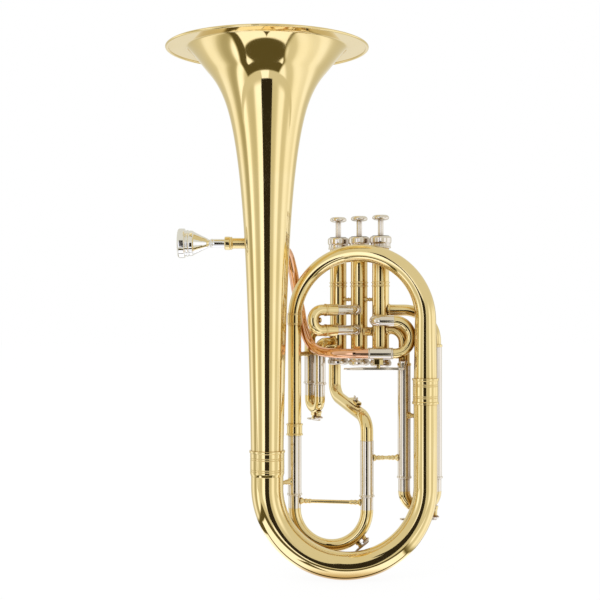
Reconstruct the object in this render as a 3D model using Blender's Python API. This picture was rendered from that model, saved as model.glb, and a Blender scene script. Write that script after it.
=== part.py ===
"""Alto horn with an upright bell and three piston valves, standing as it is held to play.

Units are metres, +Z up. The origin is the lowest point of the bottom bow, +X runs from the bell
towards the right-hand tube, and the player's side is +Y. Each separate piece is one object.
"""

import math

import bmesh
import bpy
from mathutils import Matrix, Vector

MM = 0.001

# How round the pieces are
TUBE_SIDES = 10
BOW_SIDES = 12
TURNED_SIDES = 16
SMALL_SIDES = 8
BELL_SIDES = 28
BEND_DEPARTURE = 0.5 * MM  # how far a bend's straight facets may leave its curve
BEND_STEP_LIMIT = math.radians(36)
SMOOTH_ANGLE = math.radians(40)

# Fits
GAP = 0.3 * MM  # between two pieces that touch on the real horn
SLIDE_CLEARANCE = 0.2 * MM  # between a slide's leg and the flats of its sleeve's bore
TUBE_WALL = 0.6 * MM
SLEEVE_WALL = 0.5 * MM

# Bell: a flare whose radius falls with a power of the distance from the rim
BELL_AXIS_X = -79.5 * MM
BELL_RIM_RADIUS = 101.5 * MM
BELL_LENGTH = 415.5 * MM
BELL_FLARE_OFFSET = 14.0 * MM
BELL_FLARE_POWER = 0.556
BELL_WALL = 0.7 * MM
BELL_STATIONS = 13
BELL_FOOT_HEIGHT = 117.0 * MM
BELL_RIM_HEIGHT = BELL_FOOT_HEIGHT + BELL_LENGTH
RIM_BEAD_WIDTH = 3.4 * MM
RIM_BEAD_THICKNESS = 2.6 * MM

# Bottom bow and the long right-hand tube
RIGHT_TUBE_X = 79.5 * MM
BOTTOM_BOW_RADIUS_AT_BELL = 15.2 * MM
BOTTOM_BOW_RADIUS_AT_RIGHT = 11.9 * MM
RIGHT_JOINT_HEIGHT = 189.0 * MM

# Top bow and left down tube
LEFT_TUBE_X = -51.0 * MM
LEFT_TUBE_Y = 30.5 * MM
TOP_BOW_RISE = 71.5 * MM  # from the right-hand joint to where the bow starts to bend
TOP_BOW_SPRING_HEIGHT = RIGHT_JOINT_HEIGHT + TOP_BOW_RISE
DOWN_TUBE_RADIUS = 6.1 * MM
DOWN_TUBE_LENGTH = 110.5 * MM
SLEEVE_JOINT_HEIGHT = TOP_BOW_SPRING_HEIGHT - DOWN_TUBE_LENGTH

# Ferrules
FERRULE_WALL = 0.8 * MM
FERRULE_BEAD = 1.4 * MM
RING_WALL = 0.6 * MM
BELL_FERRULE_LENGTH = 26.0 * MM
RIGHT_FERRULE_LENGTH = 26.0 * MM
TOP_BOW_FERRULE_LENGTH = 12.0 * MM
TOP_BOW_FERRULE_ROOM = 0.5 * MM  # because the bow already curves inside this ferrule
TUNING_FERRULE_LENGTH = 12.0 * MM

# Main tuning slide
TUNING_LEG_RADIUS = 5.75 * MM
TUNING_RIGHT_X = 21.6 * MM
TUNING_RIGHT_Y = 19.5 * MM
TUNING_LEFT_SLEEVE_LENGTH = 69.0 * MM
TUNING_RIGHT_SLEEVE_LENGTH = 56.0 * MM
TUNING_DRAWN = 14.6 * MM  # from the collars to where the slide's bow starts to bend
TUNING_INSERTED = 46.0 * MM
TUNING_BRACE_DROP = 7.0 * MM
TUNING_COLLAR_HEIGHT = SLEEVE_JOINT_HEIGHT - TUNING_LEFT_SLEEVE_LENGTH
TUNING_BOW_SPRING_HEIGHT = TUNING_COLLAR_HEIGHT - TUNING_DRAWN
TUNING_RIGHT_JOINT_HEIGHT = TUNING_COLLAR_HEIGHT + TUNING_RIGHT_SLEEVE_LENGTH
TUNING_BRACE_HEIGHT = TUNING_COLLAR_HEIGHT - TUNING_BRACE_DROP
COLLAR_LENGTH = 2.0 * MM
COLLAR_STEP = 0.9 * MM

# Valves
VALVE_3_X = 36.9 * MM
VALVE_3_Y = 32.0 * MM
VALVE_SPACING = 26.9 * MM
VALVE_LINE_ANGLE = math.radians(142.1)  # from valve 3 towards valve 1, measured from +X
CASING_RADIUS = 8.7 * MM
CASING_WALL = 1.05 * MM
CASING_BOTTOM = 214.0 * MM
CASING_LENGTH = 130.0 * MM
CASING_TOP = CASING_BOTTOM + CASING_LENGTH
CASING_BAND_RISE = 82.2 * MM
CASING_BAND_HALF = 2.2 * MM
CASING_BAND_STEP = 0.7 * MM
GUIDE_RISE = 77.0 * MM
GUIDE_THICKNESS = 4.0 * MM
ROD_RADIUS = 2.6 * MM
ROD_CLEARANCE = 0.7 * MM
PISTON_CLEARANCE = 0.35 * MM
PISTON_LENGTH = 55.5 * MM
PISTON_TOP_ROOM = 2.5 * MM  # below the guide
PISTON_PASSAGE_RADIUS = 4.6 * MM
SEAT_RADIUS = 6.4 * MM
SEAT_THICKNESS = 2.2 * MM
CAP_WALL = 2.0 * MM
CAP_PLATE = 2.2 * MM
CAP_FIT = 0.3 * MM
TOP_CAP_LENGTH = 13.5 * MM
BOTTOM_CAP_LENGTH = 10.3 * MM
BOTTOM_CAP_VENT_RADIUS = 1.8 * MM
BUTTON_RADIUS = 8.75 * MM
BUTTON_THICKNESS = 5.6 * MM
BUTTON_NECK_LENGTH = 1.6 * MM
STEM_SHOWN = 16.0 * MM
SPRING_COIL_RADIUS = 5.0 * MM
SPRING_WIRE_RADIUS = 0.45 * MM
SPRING_TURNS = 5
SPRING_STEPS_PER_TURN = 6
SPRING_SIDES = 3

# Valve tubing
BRANCH_RADIUS = 5.8 * MM
VALVE_LEG_RADIUS = 5.3 * MM
KNUCKLE_RISE = 32.0 * MM  # each rise is measured from the casings' lower end

# Return tube from valve 1 to the tuning slide
RETURN_PORT_ANGLE = math.radians(100.0)
RETURN_PORT_RISE = 26.0 * MM
RETURN_REACH = 18.3 * MM
RETURN_ELBOW_RADIUS = 8.0 * MM
RETURN_BEND_RADIUS = 17.3 * MM
RETURN_RADIUS = 6.1 * MM
RETURN_TOP_DROP = 22.0 * MM  # below the casings' lower end
RETURN_FOOT_RISE = 9.0 * MM  # above the tuning slide's right-hand sleeve

# Leadpipe, receiver and crook
MOUTH_AXIS_Y = 31.0 * MM
MOUTH_AXIS_HEIGHT = 338.2 * MM
RECEIVER_MOUTH_X = -123.5 * MM
RECEIVER_LENGTH = 23.5 * MM
RECEIVER_COLLAR_LENGTH = 7.7 * MM
RECEIVER_COLLAR_RADIUS = 6.9 * MM
RECEIVER_RADIUS = 5.6 * MM
RECEIVER_STEP = 1.0 * MM
LEADPIPE_RADIUS = 4.9 * MM
LEADPIPE_PASSING_GAP = 0.3 * MM  # between the leadpipe and the ferrule at the top bow's left foot
LEADPIPE_STEPS_PER_SPAN = 2
LEVEL_END = Vector((2.0, 0.0, 0.0)) * MM  # the level stretch's end and the shoulder, from the bell's axis
SHOULDER = Vector((19.0, 2.0, -7.5)) * MM
NECK = Vector((-1.8, 5.0, -26.0)) * MM  # from above the left tube
FOOT_TOP = Vector((-0.6, -0.5, 0.0)) * MM  # the next three pass the top bow's left foot
FOOT_MIDDLE = Vector((4.5, 0.0, 0.0)) * MM
FOOT_END = Vector((9.0, -2.0, 0.0)) * MM
FOOT_TOP_SHARE = 0.58  # how high they are, as shares of the leadpipe's drop
FOOT_MIDDLE_SHARE = 0.39
FOOT_END_SHARE = 0.22
HEEL = Vector((15.5, -6.0, 9.0)) * MM
INSTEP = Vector((25.5, 20.0, 1.6)) * MM  # the last three run forward to the crook's plane
BALL = Vector((42.0, 8.0, 0.0)) * MM
TOE = Vector((-26.0, 1.0, 0.0)) * MM  # from the crook's joint
CROOK_Y = 9.0 * MM
CROOK_RISE = 45.2 * MM
CROOK_SPREAD = 33.2 * MM  # between its lower and upper stretches
CROOK_UPPER_HEIGHT = CASING_BOTTOM + CROOK_RISE
CROOK_LOWER_HEIGHT = CROOK_UPPER_HEIGHT - CROOK_SPREAD
CROOK_JOINT_X = 35.0 * MM
CROOK_BEND_X = 49.4 * MM
CROOK_RADIUS = 5.2 * MM
CROOK_PORT_ANGLE = math.radians(-116.7)
CROOK_ELBOW_RADIUS = 7.0 * MM
NICKEL_FERRULE_LENGTH = 25.0 * MM
CROOK_FERRULE_X = 43.0 * MM
CROOK_FERRULE_LENGTH = 11.0 * MM

# First valve slide
FIRST_NEAR_X = -25.4 * MM
FIRST_NEAR_Y = 45.0 * MM
FIRST_FAR_X = -35.5 * MM
FIRST_FAR_Y = 62.0 * MM
FIRST_NEAR_RISE = 21.0 * MM
FIRST_FAR_RISE = 33.5 * MM
FIRST_ELBOW_RADIUS = 8.0 * MM
FIRST_COLLAR_DROP = 20.7 * MM  # below the casings' lower end
FIRST_DRAWN = 16.6 * MM
FIRST_NEAR_PORT_HEIGHT = CASING_BOTTOM + FIRST_NEAR_RISE
FIRST_FAR_PORT_HEIGHT = CASING_BOTTOM + FIRST_FAR_RISE
FIRST_COLLAR_HEIGHT = CASING_BOTTOM - FIRST_COLLAR_DROP
FIRST_BOW_SPRING_HEIGHT = FIRST_COLLAR_HEIGHT - FIRST_DRAWN
FIRST_INSERTED = 17.0 * MM
FIRST_PUSH_IN = 12.0 * MM

# Second valve slide
SECOND_RISE = 35.5 * MM
SECOND_SPREAD = 20.6 * MM
SECOND_LOWER_HEIGHT = CASING_BOTTOM + SECOND_RISE
SECOND_UPPER_HEIGHT = SECOND_LOWER_HEIGHT + SECOND_SPREAD
SECOND_PORT_ANGLE = math.radians(-116.7)
SECOND_SLIDE_ANGLE = math.radians(-155.0)
SECOND_STUB = 3.0 * MM
SECOND_ELBOW_RADIUS = 8.0 * MM
SECOND_SLEEVE_LENGTH = 17.0 * MM
SECOND_BOW_LEAD = 16.0 * MM
SECOND_INSERTED = 13.0 * MM
PULL_KNOB_RADIUS = 2.2 * MM

# Third valve slide
THIRD_LEG_RADIUS = 5.8 * MM
THIRD_Y = 22.0 * MM
THIRD_LEFT_X = 60.2 * MM
THIRD_RIGHT_X = 91.9 * MM
THIRD_RISE = 36.7 * MM
THIRD_SPREAD = 18.9 * MM
THIRD_LOWER_HEIGHT = CASING_BOTTOM + THIRD_RISE
THIRD_UPPER_HEIGHT = THIRD_LOWER_HEIGHT + THIRD_SPREAD
THIRD_UPPER_BEND = 31.5 * MM
THIRD_LOWER_BEND = 14.0 * MM
THIRD_LEFT_SLEEVE_LENGTH = 114.3 * MM
THIRD_RIGHT_SLEEVE_LENGTH = 133.3 * MM
THIRD_SLEEVE_DROP = 36.7 * MM  # from the lower port to the top of the left sleeve
THIRD_DRAWN = 14.7 * MM
THIRD_COLLAR_HEIGHT = THIRD_LOWER_HEIGHT - THIRD_SLEEVE_DROP - THIRD_LEFT_SLEEVE_LENGTH
THIRD_BOW_SPRING_HEIGHT = THIRD_COLLAR_HEIGHT - THIRD_DRAWN
THIRD_INSERTED = 60.0 * MM

# Braces
BRACE_RADIUS = 1.5 * MM
BRACE_FOOT_RADIUS = 3.4 * MM
BRACE_FOOT_LENGTH = 1.2 * MM
SLEEVE_BRACE_DROP = 17.5 * MM  # below the top of the tuning slide's right-hand sleeve
THIRD_BRACE_DROP = 26.0 * MM  # below the right-hand joint
BOW_BRACE_DROP = 19.0 * MM  # below the bell's foot
FIRST_BRACE_RISE = 10.0 * MM  # above the casings' lower end
MOUTH_BRACE_REACH = 3.0 * MM  # from the receiver's end
MOUTH_BRACE_PLATE_LENGTH = 18.0 * MM
MOUTH_BRACE_PLATE_WIDTH = 7.0 * MM
MOUTH_BRACE_PLATE_THICKNESS = 1.2 * MM

# Lyre holder on the return tube
LYRE_LENGTH = 16.0 * MM
LYRE_WIDTH = 7.0 * MM
LYRE_THICKNESS = 3.6 * MM
LYRE_SLOT = 1.6 * MM
LYRE_SHIFT = 5.0 * MM  # below the middle of the slanting stretch
LYRE_SCREW_RADIUS = 1.3 * MM
LYRE_SCREW_HEAD_RADIUS = 3.0 * MM
LYRE_SCREW_HEAD_LENGTH = 3.2 * MM

# Water keys
NIPPLE_RADIUS = 2.3 * MM
CUP_RADIUS = 3.6 * MM
CUP_HEIGHT = 3.0 * MM
LEVER_THICKNESS = 1.6 * MM
LEVER_WIDTH = 3.0 * MM
LEVER_TIP_WIDTH = 5.0 * MM
KEY_STANDOFF = 4.2 * MM  # from a bow's surface to its key's pivot
THIRD_KEY_REACH = 14.0 * MM  # from the pivot to the cup
THIRD_KEY_THUMB = 17.0 * MM  # from the pivot to the thumb end
THIRD_NIPPLE_DEPTH = 9.0 * MM
FIRST_KEY_REACH = 8.0 * MM
FIRST_KEY_THUMB = 11.0 * MM
FIRST_NIPPLE_DEPTH = 6.0 * MM
TUNING_KEY_REACH = 9.0 * MM
TUNING_KEY_THUMB = 13.0 * MM
TUNING_NIPPLE_DEPTH = 6.0 * MM
TUNING_KEY_ANGLE = math.radians(50)  # below the right-hand end of the bow
LEADPIPE_KEY_STANDOFF = 7.2 * MM
LEADPIPE_KEY_SETBACK = 2.0 * MM  # from the crook's joint
LEADPIPE_KEY_REACH = 25.0 * MM
LEADPIPE_KEY_THUMB = 31.0 * MM
LEADPIPE_CUP_HEIGHT = 8.0 * MM
LEADPIPE_NIPPLE_DEPTH = 7.0 * MM
PIVOT_PIN_RADIUS = 0.7 * MM
PIVOT_BARREL_RADIUS = 1.9 * MM
PIVOT_BARREL_LENGTH = 3.4 * MM
EAR_THICKNESS = 1.0 * MM
EAR_LENGTH = 3.6 * MM

# Mouthpiece
MOUTHPIECE_LENGTH = 68.0 * MM
MOUTHPIECE_RIM_RADIUS = 15.2 * MM
MOUTHPIECE_RIM_LENGTH = 8.0 * MM
MOUTHPIECE_BAND_RADIUS = 13.8 * MM
MOUTHPIECE_BAND_LENGTH = 8.0 * MM
MOUTHPIECE_CONE_RADIUS = 11.8 * MM
MOUTHPIECE_CONE_LENGTH = 16.5 * MM
MOUTHPIECE_WAIST_RADIUS = 3.9 * MM
MOUTHPIECE_SHANK_RADIUS = 4.5 * MM
MOUTHPIECE_CUP_RADIUS = 9.4 * MM
MOUTHPIECE_CUP_DEPTH = 19.0 * MM
MOUTHPIECE_THROAT_RADIUS = 1.9 * MM
MOUTHPIECE_INSERTED = 20.0 * MM
MOUTHPIECE_LIP_ROUND = 1.5 * MM
MOUTHPIECE_GROOVE = 0.8 * MM
MOUTHPIECE_WAIST_STEP = 2.0 * MM
MOUTHPIECE_SHANK_WALL = 1.0 * MM
MOUTHPIECE_THROAT_LENGTH = 6.0 * MM

UP = Vector((0, 0, 1))
DOWN = Vector((0, 0, -1))
LEFT = Vector((-1, 0, 0))
RIGHT = Vector((1, 0, 0))
TOWARDS_PLAYER = Vector((0, 1, 0))


# Materials

def metal(name, colour, roughness):
    """A plain metal finish."""
    made = bpy.data.materials.new(name)
    made.use_nodes = True
    shader = made.node_tree.nodes["Principled BSDF"]
    shader.inputs["Base Color"].default_value = (*colour, 1)
    shader.inputs["Roughness"].default_value = roughness
    shader.inputs["Metallic"].default_value = 1
    return made


def make_materials():
    """The finishes of the horn by name."""
    return {
        "brass": metal("lacquered_brass", (0.86, 0.64, 0.28), 0.18),
        "nickel": metal("nickel_silver", (0.72, 0.70, 0.66), 0.2),
        "copper": metal("rose_brass", (0.80, 0.45, 0.27), 0.18),
        "silver": metal("silver_plate", (0.82, 0.82, 0.82), 0.12),
        "steel": metal("spring_steel", (0.45, 0.45, 0.46), 0.35),
    }


# Objects from meshes

def add_object(name, bm, finish, origin=None):
    """Makes an object from bm, with its origin moved to a point where one is given."""
    bmesh.ops.recalc_face_normals(bm, faces=bm.faces)
    if bm.calc_volume(signed=True) < 0:
        bmesh.ops.reverse_faces(bm, faces=bm.faces)
    place = Vector(origin) if origin is not None else Vector((0, 0, 0))
    bmesh.ops.translate(bm, verts=bm.verts, vec=-place)
    mesh = bpy.data.meshes.new(name)
    bm.to_mesh(mesh)
    bm.free()
    mesh.materials.append(finish)
    mesh.shade_smooth()
    mesh.set_sharp_from_angle(angle=SMOOTH_ANGLE)
    made = bpy.data.objects.new(name, mesh)
    made.location = place
    bpy.context.scene.collection.objects.link(made)
    return made


def combine(base, operation, others):
    """Joins other objects to base, or cuts them from it, and deletes them."""
    for other in others:
        modifier = base.modifiers.new(operation.lower(), "BOOLEAN")
        modifier.operation = operation
        modifier.solver = "EXACT"
        modifier.object = other
    bpy.context.view_layer.update()
    graph = bpy.context.evaluated_depsgraph_get()
    finish = base.data.materials[0]
    result = bpy.data.meshes.new_from_object(base.evaluated_get(graph))
    base.modifiers.clear()
    base.data = result
    result.materials.clear()
    result.materials.append(finish)
    result.shade_smooth()
    result.set_sharp_from_angle(angle=SMOOTH_ANGLE)
    for other in others:
        bpy.data.objects.remove(other)
    return base


def facing(direction):
    """The rotation that takes +Z to a direction."""
    return UP.rotation_difference(Vector(direction).normalized()).to_matrix()


def box(name, size, place, rotation, finish):
    """A box centred on a point, with its edges along the rotation's columns."""
    bm = bmesh.new()
    bmesh.ops.create_cube(bm, size=1)
    spread = Matrix.Diagonal(Vector(size).to_4d())
    bmesh.ops.transform(bm, matrix=Matrix.Translation(place) @ rotation.to_4x4() @ spread, verts=bm.verts)
    return add_object(name, bm, finish)


def rod(name, start, end, radius, finish, sides=SMALL_SIDES):
    """A plain round bar between two points."""
    start, end = Vector(start), Vector(end)
    return turned(name, [(0, 0), (0, radius), ((end - start).length, radius), ((end - start).length, 0)],
                  start, end - start, finish, sides)


def turned(name, profile, start, direction, finish, sides=TURNED_SIDES, origin=None):
    """A lathe-turned piece. The profile's points are (distance along the axis, radius).

    Where the first and last points lie on the axis the piece is closed there, and otherwise the
    profile is a closed loop and the piece is a ring.
    """
    frame = Matrix.Translation(start) @ facing(direction).to_4x4()
    bm = bmesh.new()
    rings = []
    for along, radius in profile:
        if radius == 0:
            rings.append([bm.verts.new(frame @ Vector((0, 0, along)))])
            continue
        rings.append([
            bm.verts.new(frame @ Vector((radius * math.cos(turn), radius * math.sin(turn), along)))
            for turn in (math.tau * side / sides for side in range(sides))
        ])
    pairs = list(zip(rings, rings[1:]))
    if profile[0][1] > 0:
        pairs.append((rings[-1], rings[0]))
    for lower, upper in pairs:
        bridge(bm, lower, upper, sides)
    return add_object(name, bm, finish, origin)


def bridge(bm, lower, upper, sides):
    """Joins two rings of points, either of which may be one point on the axis."""
    for side in range(sides):
        after = (side + 1) % sides
        if len(lower) == 1:
            bm.faces.new((lower[0], upper[after], upper[side]))
        elif len(upper) == 1:
            bm.faces.new((lower[side], lower[after], upper[0]))
        else:
            bm.faces.new((lower[side], lower[after], upper[after], upper[side]))


class Route:
    """The centreline of a tube: points with the direction that the tube has at each."""

    def __init__(self, start, direction):
        self.points = [Vector(start)]
        self.directions = [Vector(direction).normalized()]

    def run(self, length):
        """A straight stretch."""
        self.points.append(self.points[-1] + self.directions[-1] * length)
        self.directions.append(self.directions[-1].copy())
        return self

    def run_to_height(self, height):
        """A straight stretch up or down to a height."""
        return self.run((height - self.points[-1].z) / self.directions[-1].z)

    def bend(self, angle, radius, towards):
        """A bend of a given radius whose centre lies towards a side."""
        heading = self.directions[-1]
        side = Vector(towards)
        side = (side - heading * side.dot(heading)).normalized()
        start = self.points[-1].copy()
        finest = 2 * math.acos(1 - min(BEND_DEPARTURE / radius, 1))
        steps = math.ceil(angle / min(finest, BEND_STEP_LIMIT))
        for step in range(1, steps + 1):
            turn = angle * step / steps
            forward = heading * math.cos(turn) + side * math.sin(turn)
            place = start + heading * radius * math.sin(turn) + side * radius * (1 - math.cos(turn))
            self.points.append(place)
            self.directions.append(forward)
        return self

    def shares(self):
        """How far along the tube each point is, from 0 to 1."""
        run = [0.0]
        for before, after in zip(self.points, self.points[1:]):
            run.append(run[-1] + (after - before).length)
        return [length / run[-1] for length in run]


def smooth_route(points, steps):
    """A route on a smooth curve through points, leaving and ending along its outer spans."""
    spots = [Vector(point) for point in points]
    ends = [spots[0] * 2 - spots[1], *spots, spots[-1] * 2 - spots[-2]]
    route = None
    for index in range(len(spots) - 1):
        before, start, end, after = ends[index:index + 4]
        for step in range(steps):
            share = step / steps
            place, heading = spline_point(before, start, end, after, share)
            if route is None:
                route = Route(place, heading)
                continue
            route.points.append(place)
            route.directions.append(heading)
    route.points.append(spots[-1])
    route.directions.append((spots[-1] - spots[-2]).normalized())
    return route


def spline_point(before, start, end, after, share):
    """A point and direction on the curve from start to end, shaped by the points beyond them."""
    leave = (end - before) / 2
    arrive = (after - start) / 2
    square, cube = share ** 2, share ** 3
    place = (start * (2 * cube - 3 * square + 1) + leave * (cube - 2 * square + share)
             + end * (3 * square - 2 * cube) + arrive * (cube - square))
    heading = (start * (6 * square - 6 * share) + leave * (3 * square - 4 * share + 1)
               + end * (6 * share - 6 * square) + arrive * (3 * square - 2 * share))
    return place, heading.normalized()


def level_across(direction):
    """A level direction at right angles to another, which is +X for an upright one."""
    level = direction.cross(UP)
    return level.normalized() if level.length > 1e-6 else RIGHT.copy()


def tube(name, route, outer, finish, inner=None, sides=TUBE_SIDES, origin=None):
    """A tube along a route, open at both ends.

    Outer and inner are radii, or functions of the share of the length. The bore is the outer
    radius less the tube's wall where no inner radius is given.
    """
    def radius_at(size, share):
        return size(share) if callable(size) else size

    def bore_at(share):
        return radius_at(outer, share) - TUBE_WALL if inner is None else radius_at(inner, share)

    bm = bmesh.new()
    shares = route.shares()
    across = level_across(route.directions[0])
    walls = ([], [])
    heading = route.directions[0]
    for place, direction, share in zip(route.points, route.directions, shares):
        across = heading.rotation_difference(direction) @ across
        across = (across - direction * across.dot(direction)).normalized()
        heading = direction
        other = direction.cross(across)
        for wall, radius in zip(walls, (radius_at(outer, share), bore_at(share))):
            wall.append([
                bm.verts.new(place + (across * math.cos(turn) + other * math.sin(turn)) * radius)
                for turn in (math.tau * side / sides for side in range(sides))
            ])
    for wall in walls:
        for lower, upper in zip(wall, wall[1:]):
            bridge(bm, lower, upper, sides)
    bridge(bm, walls[1][0], walls[0][0], sides)
    bridge(bm, walls[0][-1], walls[1][-1], sides)
    return add_object(name, bm, finish, origin)


def bore_round(radius, gap=GAP, sides=TURNED_SIDES):
    """The bore that clears a round piece by a gap, measured to the flats between its facets' corners."""
    return (radius + gap) / math.cos(math.pi / sides)


def ferrule(name, centre, direction, inside, length, finish):
    """A sleeve round a joint between two tubes, with a bead at each end."""
    bore = bore_round(inside)
    body = bore + FERRULE_WALL
    edge = bore + FERRULE_BEAD
    start = Vector(centre) - Vector(direction).normalized() * length / 2
    step = min(FERRULE_BEAD, length / 5)
    profile = [
        (0, bore), (0, edge), (step, edge), (step * 1.4, body),
        (length - step * 1.4, body), (length - step, edge), (length, edge), (length, bore),
    ]
    return turned(name, profile, start, direction, finish)


def ring(name, centre, direction, inside, length, finish):
    """A plain sleeve round a joint between two tubes."""
    bore = bore_round(inside)
    start = Vector(centre) - Vector(direction).normalized() * length / 2
    profile = [(0, bore), (0, bore + RING_WALL), (length, bore + RING_WALL), (length, bore)]
    return turned(name, profile, start, direction, finish)


def brace(name, start, end, finish):
    """A turned stay between two tubes, with a small foot at each end."""
    start, end = Vector(start), Vector(end)
    length = (end - start).length
    profile = [
        (0, 0), (0, BRACE_FOOT_RADIUS), (BRACE_FOOT_LENGTH, BRACE_FOOT_RADIUS),
        (BRACE_FOOT_LENGTH * 2, BRACE_RADIUS), (length - BRACE_FOOT_LENGTH * 2, BRACE_RADIUS),
        (length - BRACE_FOOT_LENGTH, BRACE_FOOT_RADIUS), (length, BRACE_FOOT_RADIUS), (length, 0),
    ]
    return turned(name, profile, start, end - start, finish, SMALL_SIDES)


def brace_between(name, first, first_radius, second, second_radius, height, finish):
    """A brace between two upright tubes whose axes are given as (x, y)."""
    start = Vector((*first, height))
    end = Vector((*second, height))
    along = (end - start).normalized()
    return brace(name, start + along * (first_radius + GAP), end - along * (second_radius + GAP), finish)


# Places worked out from the driving sizes

def bell_radius(height):
    """The bell's outer radius at a height, by its flare."""
    below = BELL_RIM_HEIGHT - height
    return BELL_RIM_RADIUS * (BELL_FLARE_OFFSET / (BELL_FLARE_OFFSET + below)) ** BELL_FLARE_POWER


def bottom_bow_centre_height():
    """The height of the bottom bow's centre, so that the bow's lowest point is at zero."""
    at_bottom = (BOTTOM_BOW_RADIUS_AT_BELL + BOTTOM_BOW_RADIUS_AT_RIGHT) / 2
    return bottom_bow_bend() + at_bottom


def bottom_bow_bend():
    """The bend radius of the bottom bow."""
    return (RIGHT_TUBE_X - BELL_AXIS_X) / 2


def flat_direction(angle):
    """A level direction at an angle from +X."""
    return Vector((math.cos(angle), math.sin(angle), 0))


def valve_place(number, height=0.0):
    """A point on the axis of a valve, counted from 1 at the far left."""
    along = flat_direction(VALVE_LINE_ANGLE) * VALVE_SPACING * (3 - number)
    return Vector((VALVE_3_X + along.x, VALVE_3_Y + along.y, height))


def sleeve_bore(leg_radius):
    """The bore of the sleeve that a slide's leg runs in."""
    return bore_round(leg_radius, SLIDE_CLEARANCE, TUBE_SIDES)


def sleeve_radius(leg_radius):
    """The outer radius of the sleeve that a slide's leg runs in."""
    return sleeve_bore(leg_radius) + SLEEVE_WALL


def guide_height():
    """The height of the underside of the web that carries the spring."""
    return CASING_BOTTOM + GUIDE_RISE


def piston_top():
    """The height of a piston's top face at rest."""
    return guide_height() - PISTON_TOP_ROOM


def button_bottom():
    """The height of the underside of a finger button at rest."""
    return top_cap_top() + STEM_SHOWN


def top_cap_top():
    """The height of the top face of the top caps."""
    return CASING_TOP + CAP_FIT + CAP_PLATE


def seat_top():
    """The height of the top of the spring seat on a piston's rod."""
    return CASING_TOP - CAP_FIT


def slide_angle_between(first, second):
    """The level direction from one slide leg to the other."""
    return Vector((second[0] - first[0], second[1] - first[1], 0)).normalized()


TUNING_LEFT = (LEFT_TUBE_X, LEFT_TUBE_Y)
TUNING_RIGHT = (TUNING_RIGHT_X, TUNING_RIGHT_Y)
FIRST_NEAR = (FIRST_NEAR_X, FIRST_NEAR_Y)
FIRST_FAR = (FIRST_FAR_X, FIRST_FAR_Y)
THIRD_LEFT = (THIRD_LEFT_X, THIRD_Y)
THIRD_RIGHT = (THIRD_RIGHT_X, THIRD_Y)


# Bell, bows and the main tubes

def make_bell(finish):
    """The bell as a thin shell with a rolled rim that is flat on top."""
    growth = (1 + (BELL_RIM_HEIGHT - BELL_FOOT_HEIGHT) / BELL_FLARE_OFFSET) ** (1 / BELL_STATIONS)
    below = [BELL_FLARE_OFFSET * (growth ** station - 1) for station in range(BELL_STATIONS, 0, -1)]
    outer = [(BELL_RIM_HEIGHT - drop, bell_radius(BELL_RIM_HEIGHT - drop)) for drop in below]
    inner = []
    for index, (height, radius) in enumerate(outer):
        nearby = outer[max(index - 1, 0)], outer[min(index + 1, len(outer) - 1)]
        rise = nearby[1][0] - nearby[0][0]
        spread = nearby[1][1] - nearby[0][1]
        slant = math.hypot(rise, spread)
        inner.append((height + BELL_WALL * spread / slant * (index > 0), radius - BELL_WALL * rise / slant))
    bead_inner = BELL_RIM_RADIUS - RIM_BEAD_WIDTH
    bead_foot = BELL_RIM_HEIGHT - RIM_BEAD_THICKNESS
    chamfer = RIM_BEAD_THICKNESS / 4
    bead = [
        (bead_foot + chamfer / 2, bead_inner), (bead_foot, bead_inner + chamfer),
        (bead_foot, BELL_RIM_RADIUS - chamfer),
        (bead_foot + chamfer, BELL_RIM_RADIUS), (BELL_RIM_HEIGHT - chamfer, BELL_RIM_RADIUS),
        (BELL_RIM_HEIGHT, BELL_RIM_RADIUS - chamfer), (BELL_RIM_HEIGHT, bead_inner),
    ]
    profile = outer + bead + inner[::-1]
    return turned("bell", profile, (BELL_AXIS_X, 0, 0), UP, finish, BELL_SIDES)


def make_bottom_bow(finish):
    """The bottom bow with the straight right-hand tube above it."""
    route = Route((BELL_AXIS_X, 0, BELL_FOOT_HEIGHT - GAP), DOWN)
    route.run_to_height(bottom_bow_centre_height())
    route.bend(math.pi, bottom_bow_bend(), RIGHT)
    route.run_to_height(RIGHT_JOINT_HEIGHT - GAP)
    growth = BOTTOM_BOW_RADIUS_AT_RIGHT - BOTTOM_BOW_RADIUS_AT_BELL
    shares = route.shares()
    bend_start, bend_end = shares[1], shares[-2]

    def radius(share):
        through = min(max((share - bend_start) / (bend_end - bend_start), 0), 1)
        return BOTTOM_BOW_RADIUS_AT_BELL + growth * through

    return tube("bottom_bow", route, radius, finish, sides=BOW_SIDES)


def make_top_bow(finish):
    """The top bow, narrowing from the right-hand tube to the left down tube."""
    across = Vector((LEFT_TUBE_X - RIGHT_TUBE_X, LEFT_TUBE_Y, 0))
    route = Route((RIGHT_TUBE_X, 0, RIGHT_JOINT_HEIGHT), UP)
    route.run_to_height(TOP_BOW_SPRING_HEIGHT)
    route.bend(math.pi, across.length / 2, across)
    growth = DOWN_TUBE_RADIUS - BOTTOM_BOW_RADIUS_AT_RIGHT

    def radius(share):
        return BOTTOM_BOW_RADIUS_AT_RIGHT + growth * share

    return tube("top_bow", route, radius, finish, sides=BOW_SIDES)


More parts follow.
